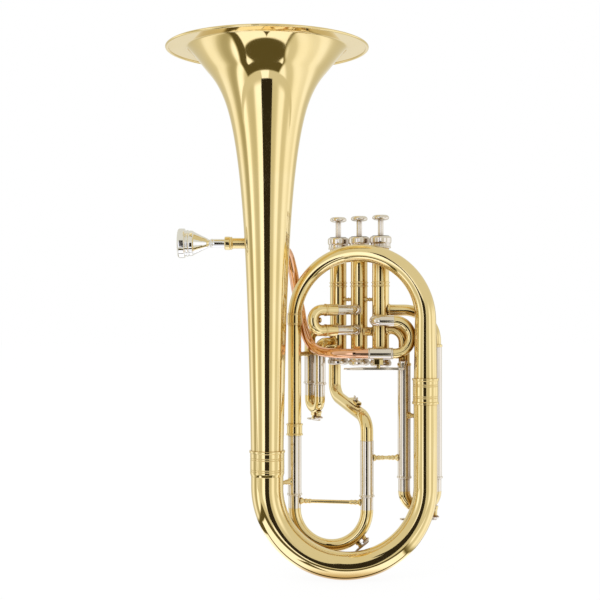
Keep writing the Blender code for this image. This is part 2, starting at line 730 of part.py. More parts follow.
def make_main_tubes(finishes):
    """The bell, the bows, the left down tube and the ferrules at their joints."""
    brass = finishes["brass"]
    make_bell(brass)
    make_bottom_bow(brass)
    make_top_bow(brass)
    ferrule("bell_ferrule", (BELL_AXIS_X, 0, BELL_FOOT_HEIGHT), UP,
            max(BOTTOM_BOW_RADIUS_AT_BELL, bell_radius(BELL_FOOT_HEIGHT + BELL_FERRULE_LENGTH / 2)),
            BELL_FERRULE_LENGTH, brass)
    ferrule("right_ferrule", (RIGHT_TUBE_X, 0, RIGHT_JOINT_HEIGHT), UP,
            BOTTOM_BOW_RADIUS_AT_RIGHT, RIGHT_FERRULE_LENGTH, brass)
    top_joint = TOP_BOW_SPRING_HEIGHT - GAP
    tube("down_tube", Route((*TUNING_LEFT, top_joint), DOWN).run_to_height(SLEEVE_JOINT_HEIGHT),
         DOWN_TUBE_RADIUS, brass)
    ring("top_bow_ferrule", (*TUNING_LEFT, top_joint), UP, DOWN_TUBE_RADIUS + TOP_BOW_FERRULE_ROOM,
         TOP_BOW_FERRULE_LENGTH, brass)
    ferrule("tuning_ferrule", (*TUNING_LEFT, SLEEVE_JOINT_HEIGHT), UP,
            sleeve_radius(TUNING_LEG_RADIUS), TUNING_FERRULE_LENGTH, brass)


# Slides

def sleeve(name, axis, top, collar, leg_radius, finish):
    """An upright outer sleeve with a collar at its lower end."""
    bore, outer = sleeve_bore(leg_radius), sleeve_radius(leg_radius)
    edge = outer + COLLAR_STEP
    profile = [
        (0, bore), (0, edge), (COLLAR_LENGTH, edge), (COLLAR_LENGTH * 1.3, outer),
        (top - collar, outer), (top - collar, bore),
    ]
    return turned(name, profile, (*axis, collar), UP, finish, TUBE_SIDES)


def upright_slide(name, first, second, spring_height, collar, inserted, leg_radius, finish):
    """A slide with two upright legs and a bow below them."""
    across = Vector((second[0] - first[0], second[1] - first[1], 0))
    route = Route((*first, collar + inserted), DOWN).run_to_height(spring_height)
    route.bend(math.pi, across.length / 2, across)
    route.run_to_height(collar + inserted)
    return tube(name, route, leg_radius, finish)


def make_tuning_slide(finishes):
    """The main tuning slide with its sleeves and brace."""
    nickel, brass = finishes["nickel"], finishes["brass"]
    sleeve("tuning_sleeve_left", TUNING_LEFT, SLEEVE_JOINT_HEIGHT - GAP, TUNING_COLLAR_HEIGHT,
           TUNING_LEG_RADIUS, nickel)
    sleeve("tuning_sleeve_right", TUNING_RIGHT, TUNING_RIGHT_JOINT_HEIGHT - GAP, TUNING_COLLAR_HEIGHT,
           TUNING_LEG_RADIUS, nickel)
    slide = upright_slide("tuning_slide", TUNING_LEFT, TUNING_RIGHT, TUNING_BOW_SPRING_HEIGHT,
                          TUNING_COLLAR_HEIGHT, TUNING_INSERTED, TUNING_LEG_RADIUS, brass)
    brace_between("tuning_slide_brace", TUNING_LEFT, TUNING_LEG_RADIUS, TUNING_RIGHT, TUNING_LEG_RADIUS,
                  TUNING_BRACE_HEIGHT, brass)
    return slide


def make_first_slide(finishes):
    """The first valve slide: two sleeves that come down from valve 1, and the slide below."""
    brass, nickel = finishes["brass"], finishes["nickel"]
    for name, axis, port_height in (
        ("first_sleeve_near", FIRST_NEAR, FIRST_NEAR_PORT_HEIGHT),
        ("first_sleeve_far", FIRST_FAR, FIRST_FAR_PORT_HEIGHT),
    ):
        route = branch_route(1, axis, port_height, FIRST_ELBOW_RADIUS)
        made = stepped_sleeve(name, route, FIRST_COLLAR_HEIGHT + FIRST_INSERTED + FIRST_PUSH_IN + GAP * 4,
                              FIRST_COLLAR_HEIGHT, VALVE_LEG_RADIUS, nickel)
        combine(made, "DIFFERENCE", [casing_cutter(1)])
    slide = upright_slide("first_slide", FIRST_NEAR, FIRST_FAR, FIRST_BOW_SPRING_HEIGHT,
                          FIRST_COLLAR_HEIGHT, FIRST_INSERTED, VALVE_LEG_RADIUS, brass)
    brace_between("first_slide_brace", TUNING_LEFT, DOWN_TUBE_RADIUS, FIRST_FAR,
                  sleeve_radius(VALVE_LEG_RADIUS), CASING_BOTTOM + FIRST_BRACE_RISE, brass)
    return slide


def branch_route(number, axis, height, bend):
    """The route of a tube that leaves a casing straight towards an upright leg and turns down into it."""
    valve = valve_place(number, height)
    outward = Vector((axis[0] - valve.x, axis[1] - valve.y, 0))
    inset = CASING_RADIUS - CASING_WALL
    route = Route(valve + outward.normalized() * inset, outward)
    route.run(outward.length - bend - inset)
    return route.bend(math.pi / 2, bend, DOWN)


def stepped_sleeve(name, route, sleeve_top, collar, leg_radius, finish):
    """A branch tube that widens into a sleeve with a collar, following an upright end of a route.

    The route ends somewhere above the sleeve, heading down.
    """
    step = GAP
    route.run_to_height(sleeve_top + step)
    branch_points = len(route.points)
    route.run_to_height(sleeve_top)
    route.run_to_height(collar + COLLAR_LENGTH + step)
    route.run_to_height(collar + COLLAR_LENGTH)
    route.run_to_height(collar)
    shares = route.shares()
    start_share = shares[branch_points - 1]
    collar_share = shares[-3]
    outer, bore = sleeve_radius(leg_radius), sleeve_bore(leg_radius)

    def outer_at(share):
        if share <= start_share:
            return BRANCH_RADIUS
        return outer if share <= collar_share else outer + COLLAR_STEP

    def bore_at(share):
        return BRANCH_RADIUS - TUBE_WALL if share <= start_share else bore

    return tube(name, route, outer_at, finish, inner=bore_at)


def make_second_slide(finishes):
    """The second valve slide, which points to the front left, and its two elbows."""
    brass, nickel = finishes["brass"], finishes["nickel"]
    port = flat_direction(SECOND_PORT_ANGLE)
    along = flat_direction(SECOND_SLIDE_ANGLE)
    turn = SECOND_PORT_ANGLE - SECOND_SLIDE_ANGLE
    bore, outer = sleeve_bore(VALVE_LEG_RADIUS), sleeve_radius(VALVE_LEG_RADIUS)
    ends = []
    for name, height in (
        ("second_sleeve_upper", SECOND_UPPER_HEIGHT),
        ("second_sleeve_lower", SECOND_LOWER_HEIGHT),
    ):
        start = valve_place(2, height) + port * (CASING_RADIUS - CASING_WALL)
        route = Route(start, port).run(SECOND_STUB + CASING_WALL)
        route.bend(turn, SECOND_ELBOW_RADIUS, along)
        elbow_points = len(route.points)
        route.run(SECOND_SLEEVE_LENGTH - COLLAR_LENGTH - GAP).run(GAP).run(COLLAR_LENGTH)
        shares = route.shares()
        elbow_share, collar_share = shares[elbow_points - 1], shares[-3]

        def outer_at(share, elbow=elbow_share, collar=collar_share):
            if share <= elbow:
                return outer - SLEEVE_WALL / 2
            return outer if share <= collar else outer + COLLAR_STEP

        made = tube(name, route, outer_at, nickel, inner=bore)
        combine(made, "DIFFERENCE", [casing_cutter(2)])
        ends.append(route.points[-1])
    route = Route(ends[0] - along * SECOND_INSERTED, along).run(SECOND_INSERTED + SECOND_BOW_LEAD)
    route.bend(math.pi, SECOND_SPREAD / 2, DOWN)
    bow_start = route.points[-1].copy()
    route.run(SECOND_INSERTED + SECOND_BOW_LEAD)
    slide = tube("second_slide", route, VALVE_LEG_RADIUS, brass)
    bend = SECOND_SPREAD / 2
    crown = bow_start + UP * bend + along * bend
    inside = crown - along * VALVE_LEG_RADIUS * 0.9
    knob_end = crown - along * (VALVE_LEG_RADIUS + PULL_KNOB_RADIUS * 1.4)
    knob = rod("pull_knob", inside, knob_end, PULL_KNOB_RADIUS, brass)
    combine(slide, "UNION", [knob])


def make_third_slide(finishes):
    """The third valve slide: two branch tubes from valve 3, their sleeves and the slide."""
    brass, nickel = finishes["brass"], finishes["nickel"]
    for name, axis, height, bend, length in (
        ("third_sleeve_left", THIRD_LEFT, THIRD_LOWER_HEIGHT, THIRD_LOWER_BEND, THIRD_LEFT_SLEEVE_LENGTH),
        ("third_sleeve_right", THIRD_RIGHT, THIRD_UPPER_HEIGHT, THIRD_UPPER_BEND, THIRD_RIGHT_SLEEVE_LENGTH),
    ):
        route = branch_route(3, axis, height, bend)
        made = stepped_sleeve(name, route, THIRD_COLLAR_HEIGHT + length, THIRD_COLLAR_HEIGHT,
                              THIRD_LEG_RADIUS, nickel)
        combine(made, "DIFFERENCE", [casing_cutter(3)])
    return upright_slide("third_slide", THIRD_LEFT, THIRD_RIGHT, THIRD_BOW_SPRING_HEIGHT,
                         THIRD_COLLAR_HEIGHT, THIRD_INSERTED, THIRD_LEG_RADIUS, brass)


# Valves

def casing_cutter(number):
    """The space that a valve casing takes, with a gap round it."""
    return rod(f"casing_space_{number}", valve_place(number, CASING_BOTTOM - CAP_PLATE),
               valve_place(number, CASING_TOP), CASING_RADIUS + GAP, bpy.data.materials["nickel_silver"],
               TURNED_SIDES)


def casing_profile():
    """Half the section of a casing: a tube with a band outside and the guide's web inside."""
    bore = CASING_RADIUS - CASING_WALL
    band = CASING_RADIUS + CASING_BAND_STEP
    hole = ROD_RADIUS + ROD_CLEARANCE
    band_middle = CASING_BOTTOM + CASING_BAND_RISE
    guide = guide_height()
    return [
        (CASING_BOTTOM, bore), (CASING_BOTTOM, CASING_RADIUS),
        (band_middle - CASING_BAND_HALF, CASING_RADIUS), (band_middle, band),
        (band_middle + CASING_BAND_HALF, CASING_RADIUS),
        (CASING_TOP, CASING_RADIUS), (CASING_TOP, bore),
        (guide + GUIDE_THICKNESS, bore), (guide + GUIDE_THICKNESS, hole),
        (guide, hole), (guide, bore),
    ]


def ports_of(number):
    """The ports of a valve as (level direction, height, bore radius)."""
    knuckle = flat_direction(VALVE_LINE_ANGLE)
    knuckle_height = CASING_BOTTOM + KNUCKLE_RISE
    branch_bore = BRANCH_RADIUS - TUBE_WALL
    if number == 1:
        near, far = (
            Vector((axis[0], axis[1], 0)) - valve_place(1) for axis in (FIRST_NEAR, FIRST_FAR)
        )
        return [
            (near, FIRST_NEAR_PORT_HEIGHT, branch_bore),
            (far, FIRST_FAR_PORT_HEIGHT, branch_bore),
            (flat_direction(RETURN_PORT_ANGLE), CASING_BOTTOM + RETURN_PORT_RISE, branch_bore),
            (-knuckle, knuckle_height, branch_bore),
        ]
    if number == 2:
        port = flat_direction(SECOND_PORT_ANGLE)
        return [
            (port, SECOND_UPPER_HEIGHT, branch_bore), (port, SECOND_LOWER_HEIGHT, branch_bore),
            (knuckle, knuckle_height, branch_bore), (-knuckle, knuckle_height, branch_bore),
        ]
    left, right = (Vector((axis[0], axis[1], 0)) - valve_place(3) for axis in (THIRD_LEFT, THIRD_RIGHT))
    return [
        (right, THIRD_UPPER_HEIGHT, branch_bore), (left, THIRD_LOWER_HEIGHT, branch_bore),
        (flat_direction(CROOK_PORT_ANGLE), CROOK_UPPER_HEIGHT, CROOK_RADIUS - TUBE_WALL),
        (knuckle, knuckle_height, branch_bore),
    ]


def make_valve(number, finishes):
    """A casing with its caps, piston, button and spring."""
    nickel, steel, brass = finishes["nickel"], finishes["steel"], finishes["brass"]
    foot = valve_place(number)
    casing = turned(f"valve_casing_{number}", casing_profile(), foot, UP, brass)
    cutters = [
        rod(f"port_{number}", valve_place(number, height),
            valve_place(number, height) + direction.normalized() * CASING_RADIUS * 1.5, bore, brass)
        for direction, height, bore in ports_of(number)
    ]
    combine(casing, "DIFFERENCE", cutters)

    fit = CASING_RADIUS + CAP_FIT
    cap = fit + CAP_WALL
    stem_hole = ROD_RADIUS + ROD_CLEARANCE
    top = top_cap_top()
    skirt = top - TOP_CAP_LENGTH
    bevel = CAP_WALL * 0.6
    turned(f"top_cap_{number}", [
        (skirt, fit), (skirt, cap - bevel / 2), (skirt + bevel / 2, cap), (top - bevel, cap),
        (top, cap - bevel), (top, stem_hole), (top - CAP_PLATE, stem_hole), (top - CAP_PLATE, fit),
    ], foot, UP, nickel)
    floor = CASING_BOTTOM - CAP_FIT
    under = floor - CAP_PLATE
    rim = under + BOTTOM_CAP_LENGTH
    turned(f"bottom_cap_{number}", [
        (under, BOTTOM_CAP_VENT_RADIUS), (under, cap - bevel), (under + bevel, cap), (rim, cap),
        (rim, fit), (floor, fit), (floor, BOTTOM_CAP_VENT_RADIUS),
    ], foot, UP, nickel)
    make_piston(number, steel, finishes)
    make_spring(number, steel)


def make_piston(number, steel, finishes):
    """A piston with its cross passages, rod and spring seat, and the finger button on the rod."""
    foot = valve_place(number)
    body = CASING_RADIUS - CASING_WALL - PISTON_CLEARANCE
    seat = seat_top()
    stem_end = button_bottom() - BUTTON_NECK_LENGTH + GAP * 3
    crown = piston_top()
    bottom = crown - PISTON_LENGTH
    piston = turned(f"piston_{number}", [
        (bottom, 0), (bottom, body), (crown, body), (crown, ROD_RADIUS),
        (seat - SEAT_THICKNESS, ROD_RADIUS), (seat - SEAT_THICKNESS, SEAT_RADIUS), (seat, SEAT_RADIUS),
        (seat, ROD_RADIUS), (stem_end, ROD_RADIUS), (stem_end, 0),
    ], foot, UP, steel, origin=foot + UP * bottom)
    passages = []
    for direction, height, _ in ports_of(number)[-1:]:
        across = direction.normalized() * CASING_RADIUS * 1.5
        centre = valve_place(number, height)
        passages.append(rod("passage", centre - across, centre + across, PISTON_PASSAGE_RADIUS, steel))
    combine(piston, "DIFFERENCE", passages)

    base = button_bottom()
    button_top = base + BUTTON_THICKNESS
    neck = ROD_RADIUS * 1.5
    turned(f"button_{number}", [
        (base - BUTTON_NECK_LENGTH + GAP * 4, 0), (base - BUTTON_NECK_LENGTH + GAP * 4, neck),
        (base, neck), (base, BUTTON_RADIUS * 0.86), (base + BUTTON_THICKNESS * 0.3, BUTTON_RADIUS),
        (base + BUTTON_THICKNESS * 0.75, BUTTON_RADIUS), (button_top, BUTTON_RADIUS * 0.8), (button_top, 0),
    ], foot, UP, finishes["nickel"], origin=foot + UP * base)


def make_spring(number, steel):
    """The coil spring between the guide's web and the spring seat, standing round the rod."""
    foot = valve_place(number)
    low = guide_height() + GUIDE_THICKNESS + SPRING_WIRE_RADIUS + GAP
    high = seat_top() - SEAT_THICKNESS - SPRING_WIRE_RADIUS - GAP
    steps = SPRING_TURNS * SPRING_STEPS_PER_TURN
    route = None
    for step in range(steps + 1):
        turn = math.tau * step / SPRING_STEPS_PER_TURN
        outward = flat_direction(turn)
        place = foot + outward * SPRING_COIL_RADIUS + UP * (low + (high - low) * step / steps)
        heading = (UP.cross(outward) + UP * (high - low) / (math.tau * SPRING_COIL_RADIUS * SPRING_TURNS))
        if route is None:
            route = Route(place, heading)
            continue
        route.points.append(place)
        route.directions.append(heading.normalized())
    bm = bmesh.new()
    rings = []
    for place, direction in zip(route.points, route.directions):
        outward = Vector((place.x - foot.x, place.y - foot.y, 0)).normalized()
        upward = direction.cross(outward)
        rings.append([
            bm.verts.new(place + (outward * math.cos(turn) + upward * math.sin(turn)) * SPRING_WIRE_RADIUS)
            for turn in (math.tau * side / SPRING_SIDES for side in range(SPRING_SIDES))
        ])
    for lower, upper in zip(rings, rings[1:]):
        bridge(bm, lower, upper, SPRING_SIDES)
    bm.faces.new(rings[0])
    bm.faces.new(rings[-1])
    return add_object(f"valve_spring_{number}", bm, steel)


def make_knuckle(first, second, finish):
    """The short tube that joins two casings."""
    height = CASING_BOTTOM + KNUCKLE_RISE
    start, end = valve_place(first, height), valve_place(second, height)
    along = (end - start).normalized()
    inset = along * (CASING_RADIUS - CASING_WALL)
    route = Route(start + inset, along).run((end - start - inset * 2).length)
    made = tube(f"knuckle_{first}_{second}", route, BRANCH_RADIUS, finish)
    return combine(made, "DIFFERENCE", [casing_cutter(first), casing_cutter(second)])


# Return tube, leadpipe and crook

def return_route():
    """The route from the back of valve 1 down to the right leg of the tuning slide."""
    port = flat_direction(RETURN_PORT_ANGLE)
    start = valve_place(1, CASING_BOTTOM + RETURN_PORT_RISE) + port * (CASING_RADIUS - CASING_WALL)
    route = Route(start, port)
    route.run(RETURN_REACH - RETURN_ELBOW_RADIUS - (CASING_RADIUS - CASING_WALL))
    route.bend(math.pi / 2, RETURN_ELBOW_RADIUS, DOWN)
    bend_top = CASING_BOTTOM - RETURN_TOP_DROP
    bend_foot = TUNING_RIGHT_JOINT_HEIGHT + RETURN_FOOT_RISE
    route.run_to_height(bend_top)
    sideways = Vector((TUNING_RIGHT_X, TUNING_RIGHT_Y, bend_top)) - route.points[-1]
    across, drop, radius = sideways.length, bend_top - bend_foot, RETURN_BEND_RADIUS
    straight = math.sqrt(across ** 2 - 4 * radius * across + drop ** 2)
    spare = across - 2 * radius
    angle = math.atan2(spare, drop) + math.asin(2 * radius / math.hypot(spare, drop))
    route.bend(angle, radius, sideways)
    route.run(straight / 2)
    lyre_spot = route.points[-1].copy(), route.directions[-1].copy()
    route.run(straight / 2)
    route.bend(angle, radius, DOWN)
    route.run_to_height(TUNING_RIGHT_JOINT_HEIGHT)
    return route, lyre_spot


def make_return_tube(finishes):
    """The return tube with the lyre holder on it, and the holder's thumb screw."""
    brass = finishes["brass"]
    route, (spot, heading) = return_route()
    made = tube("return_tube", route, RETURN_RADIUS, brass)
    combine(made, "DIFFERENCE", [casing_cutter(1)])
    upward = (UP - heading * UP.dot(heading)).normalized()
    side = heading.cross(upward)
    rotation = Matrix((side, heading, upward)).transposed()
    centre = spot + heading * LYRE_SHIFT + upward * (RETURN_RADIUS + GAP + LYRE_THICKNESS / 2)
    holder = box("lyre_holder", (LYRE_WIDTH, LYRE_LENGTH, LYRE_THICKNESS), centre, rotation, brass)
    slot_size = (LYRE_WIDTH - LYRE_SLOT * 2, LYRE_LENGTH * 1.2, LYRE_SLOT)
    slot = box("lyre_slot", slot_size, centre, rotation, brass)
    screw_place = centre + heading * LYRE_LENGTH / 4
    hole = rod("lyre_hole", screw_place, screw_place + upward * LYRE_THICKNESS,
               LYRE_SCREW_RADIUS + GAP, brass)
    combine(holder, "DIFFERENCE", [slot, hole])
    head = LYRE_THICKNESS / 2 + GAP
    turned("lyre_screw", [
        (-LYRE_SLOT / 2 + GAP, 0), (-LYRE_SLOT / 2 + GAP, LYRE_SCREW_RADIUS), (head, LYRE_SCREW_RADIUS),
        (head, LYRE_SCREW_HEAD_RADIUS), (head + LYRE_SCREW_HEAD_LENGTH, LYRE_SCREW_HEAD_RADIUS),
        (head + LYRE_SCREW_HEAD_LENGTH, 0),
    ], screw_place, upward, finishes["nickel"], SMALL_SIDES, origin=screw_place)


def leadpipe_points():
    """Places on the leadpipe's centreline, from the receiver to the crook's ferrule.

    It runs level behind the bell, turns down behind the top bow's left foot, and comes forward
    under the second slide to run in front of the valves.
    """
    receiver_end = RECEIVER_MOUTH_X + RECEIVER_LENGTH
    foot_ring = bore_round(DOWN_TUBE_RADIUS + TOP_BOW_FERRULE_ROOM) + RING_WALL
    behind_foot = LEFT_TUBE_Y + foot_ring + LEADPIPE_RADIUS + LEADPIPE_PASSING_GAP
    drop = UP * (MOUTH_AXIS_HEIGHT - CROOK_LOWER_HEIGHT)
    over_bell = Vector((BELL_AXIS_X, MOUTH_AXIS_Y, MOUTH_AXIS_HEIGHT))
    over_tube = Vector((LEFT_TUBE_X, MOUTH_AXIS_Y, MOUTH_AXIS_HEIGHT))
    foot = Vector((LEFT_TUBE_X, behind_foot, CROOK_LOWER_HEIGHT))
    plane = Vector((LEFT_TUBE_X, CROOK_Y, CROOK_LOWER_HEIGHT))
    joint = Vector((CROOK_JOINT_X, CROOK_Y, CROOK_LOWER_HEIGHT))
    return [
        Vector((receiver_end + GAP, MOUTH_AXIS_Y, MOUTH_AXIS_HEIGHT)),
        over_bell + LEVEL_END,
        over_bell + SHOULDER,
        over_tube + NECK,
        foot + FOOT_TOP + drop * FOOT_TOP_SHARE,
        foot + FOOT_MIDDLE + drop * FOOT_MIDDLE_SHARE,
        foot + FOOT_END + drop * FOOT_END_SHARE,
        foot + HEEL,
        plane + INSTEP,
        plane + BALL,
        joint + TOE,
        joint + LEFT * GAP,
    ]


def crook_route():
    """The crook's route: round its bend, back over the leadpipe, and into valve 3."""
    port = flat_direction(CROOK_PORT_ANGLE)
    bend = (CROOK_UPPER_HEIGHT - CROOK_LOWER_HEIGHT) / 2
    into_valve = -port
    turn = math.acos(into_valve.dot(LEFT))
    # The last straight stretch starts where the elbow brings the tube onto the port's line
    valve = valve_place(3)
    lead = (valve.y - CROOK_Y - CROOK_ELBOW_RADIUS * (1 - math.cos(turn))) / math.sin(turn)
    elbow_x = valve.x + port.x * lead + CROOK_ELBOW_RADIUS * math.sin(turn)
    route = Route((CROOK_JOINT_X, CROOK_Y, CROOK_LOWER_HEIGHT), RIGHT)
    route.run(CROOK_BEND_X - CROOK_JOINT_X)
    route.bend(math.pi, bend, UP)
    route.run(CROOK_BEND_X - elbow_x)
    route.bend(turn, CROOK_ELBOW_RADIUS, TOWARDS_PLAYER)
    route.run(lead - (CASING_RADIUS - CASING_WALL))
    return route


def make_leadpipe(finishes):
    """The receiver, the leadpipe and the crook that takes the air to valve 3."""
    brass, nickel, copper = finishes["brass"], finishes["nickel"], finishes["copper"]
    shank = bore_round(MOUTHPIECE_SHANK_RADIUS)
    turned("receiver", [
        (0, shank), (0, RECEIVER_COLLAR_RADIUS), (RECEIVER_COLLAR_LENGTH, RECEIVER_COLLAR_RADIUS),
        (RECEIVER_COLLAR_LENGTH + RECEIVER_STEP, RECEIVER_RADIUS), (RECEIVER_LENGTH, RECEIVER_RADIUS),
        (RECEIVER_LENGTH, shank),
    ], (RECEIVER_MOUTH_X, MOUTH_AXIS_Y, MOUTH_AXIS_HEIGHT), RIGHT, brass)
    tube("leadpipe", smooth_route(leadpipe_points(), LEADPIPE_STEPS_PER_SPAN), LEADPIPE_RADIUS, copper)
    crook = tube("crook", crook_route(), CROOK_RADIUS, brass)
    combine(crook, "DIFFERENCE", [casing_cutter(3)])
    widest = max(CROOK_RADIUS, LEADPIPE_RADIUS)
    ring("leadpipe_ferrule", (CROOK_JOINT_X, CROOK_Y, CROOK_LOWER_HEIGHT), RIGHT, widest,
         NICKEL_FERRULE_LENGTH, nickel)
    ring("crook_ferrule", (CROOK_FERRULE_X, CROOK_Y, CROOK_UPPER_HEIGHT), RIGHT, CROOK_RADIUS,
         CROOK_FERRULE_LENGTH, nickel)


def make_mouthpiece(finishes):
    """The mouthpiece, with its cup, throat and backbore."""
    rim = RECEIVER_MOUTH_X + MOUTHPIECE_INSERTED - MOUTHPIECE_LENGTH
    lip = MOUTHPIECE_CUP_RADIUS + (MOUTHPIECE_RIM_RADIUS - MOUTHPIECE_CUP_RADIUS) * 0.5
    band_start = MOUTHPIECE_RIM_LENGTH
    cone_start = band_start + MOUTHPIECE_BAND_LENGTH
    cone_end = cone_start + MOUTHPIECE_CONE_LENGTH
    groove = MOUTHPIECE_GROOVE
    profile = [
        (MOUTHPIECE_LIP_ROUND, MOUTHPIECE_CUP_RADIUS), (0, lip),
        (MOUTHPIECE_LIP_ROUND, MOUTHPIECE_RIM_RADIUS),
        (band_start - groove, MOUTHPIECE_RIM_RADIUS), (band_start, MOUTHPIECE_BAND_RADIUS - groove),
        (band_start + groove, MOUTHPIECE_BAND_RADIUS), (cone_start - groove, MOUTHPIECE_BAND_RADIUS),
        (cone_start, MOUTHPIECE_CONE_RADIUS),
        (cone_start + MOUTHPIECE_CONE_LENGTH * 0.5, MOUTHPIECE_CONE_RADIUS * 0.62),
        (cone_end, MOUTHPIECE_WAIST_RADIUS), (cone_end + MOUTHPIECE_WAIST_STEP, MOUTHPIECE_SHANK_RADIUS),
        (MOUTHPIECE_LENGTH, MOUTHPIECE_SHANK_RADIUS),
        (MOUTHPIECE_LENGTH, MOUTHPIECE_SHANK_RADIUS - MOUTHPIECE_SHANK_WALL),
        (MOUTHPIECE_CUP_DEPTH + MOUTHPIECE_THROAT_LENGTH, MOUTHPIECE_THROAT_RADIUS),
        (MOUTHPIECE_CUP_DEPTH, MOUTHPIECE_THROAT_RADIUS),
        (MOUTHPIECE_CUP_DEPTH * 0.55, MOUTHPIECE_CUP_RADIUS * 0.72),
    ]
    place = Vector((rim, MOUTH_AXIS_Y, MOUTH_AXIS_HEIGHT))
    return turned("mouthpiece", profile, place, RIGHT, finishes["silver"], origin=place)


# Water keys

class WaterKey:
    """A water key: a nipple on a tube, a lever with a corked cup over it, and a saddle with its pin.

    It stands on the tube's far side from outward. Along points from the cup to the thumb end.
    """

    def __init__(self, name, pivot, outward, along, reach, thumb, barrel_height, cup_length=CUP_HEIGHT):
        self.name = name
        self.cup_length = cup_length
        self.outward = Vector(outward).normalized()
        along = Vector(along)
        self.along = (along - self.outward * along.dot(self.outward)).normalized()
        self.axis = self.outward.cross(self.along)
        self.pivot = Vector(pivot)
        self.reach = reach
        self.thumb = thumb
        self.barrel_height = barrel_height
        self.rotation = Matrix((self.along, self.axis, self.outward)).transposed()

    def at(self, along=0.0, across=0.0, outward=0.0):
        """A point near the pivot in the key's own directions."""
        return self.pivot + self.along * along + self.axis * across + self.outward * outward

    def lever(self, finish):
        """The lever with its barrel and cup, whose origin is on the pivot's axis."""
        length = self.reach + self.thumb
        bar = box(self.name, (length, LEVER_WIDTH, LEVER_THICKNESS),
                  self.at((self.thumb - self.reach) / 2, 0, PIVOT_BARREL_RADIUS), self.rotation, finish)
        tip = box("tip", (LEVER_TIP_WIDTH * 1.6, LEVER_TIP_WIDTH, LEVER_THICKNESS * 0.8),
                  self.at(self.thumb, 0, PIVOT_BARREL_RADIUS + GAP), self.rotation, finish)
        half = PIVOT_BARREL_LENGTH / 2
        barrel = rod("barrel", self.at(0, -half), self.at(0, half), PIVOT_BARREL_RADIUS, finish)
        cup_low = self.cup_face()
        cup = rod("cup", self.at(-self.reach, 0, cup_low), self.at(-self.reach, 0, cup_low + self.cup_length),
                  CUP_RADIUS, finish)
        hole = rod("hole", self.at(0, -half * 2), self.at(0, half * 2),
                   bore_round(PIVOT_PIN_RADIUS, GAP / 2), finish)
        combine(bar, "UNION", [tip, barrel, cup])
        combine(bar, "DIFFERENCE", [hole])
        for vertex in bar.data.vertices:
            vertex.co -= self.pivot
        bar.location = self.pivot
        return bar

    def cup_face(self):
        """How far out from the pivot the cork's face is."""
        return PIVOT_BARREL_RADIUS - LEVER_THICKNESS / 2 - self.cup_length + GAP * 2

    def saddle(self, name, finish):
        """Two ears that hold the pin, and the foot that joins them to the tube."""
        ear_place = PIVOT_BARREL_LENGTH / 2 + GAP + EAR_THICKNESS / 2
        ear_low, ear_high = -self.barrel_height, PIVOT_PIN_RADIUS * 2
        foot_high = -PIVOT_BARREL_RADIUS - GAP
        foot = box(name, (EAR_LENGTH - GAP, ear_place * 2, foot_high - ear_low),
                   self.at(0, 0, (ear_low + foot_high) / 2), self.rotation, finish)
        ears = [
            box("ear", (EAR_LENGTH, EAR_THICKNESS, ear_high - ear_low - GAP),
                self.at(0, side * ear_place, (ear_low + ear_high + GAP) / 2), self.rotation, finish)
            for side in (-1, 1)
        ]
        pin = rod("pin", self.at(0, -ear_place), self.at(0, ear_place), PIVOT_PIN_RADIUS, finish)
        combine(foot, "UNION", [*ears, pin])
        return foot

    def nipple(self, depth, finish):
        """The short tube under the cup, from below the tube's surface to just under the cork."""
        end = self.cup_face() - GAP
        return rod("nipple", self.at(-self.reach, 0, end - depth), self.at(-self.reach, 0, end),
                   NIPPLE_RADIUS, finish)


# Mountings that hold the keys, worked out from the slides

def key_on_bow(name, first, second, spring_height, leg_radius, reach, thumb):
    """A water key under an upright slide's bow, with its cup towards the second leg."""
    across = Vector((second[0] - first[0], second[1] - first[1], 0))
    bend = across.length / 2
    along = -across.normalized()
    middle = Vector(((first[0] + second[0]) / 2, (first[1] + second[1]) / 2, 0))
    lowest = spring_height - bend - leg_radius
    pivot = middle + UP * (lowest - KEY_STANDOFF)
    return WaterKey(name, pivot, DOWN, along, reach, thumb, KEY_STANDOFF + leg_radius * 0.4)


def put_key_on_slide(key, slide, finish, nipple_depth):
    """Joins a key's saddle and nipple to its slide, and makes the lever."""
    combine(slide, "UNION", [key.saddle("saddle", finish), key.nipple(nipple_depth, finish)])
    return key.lever(finish)


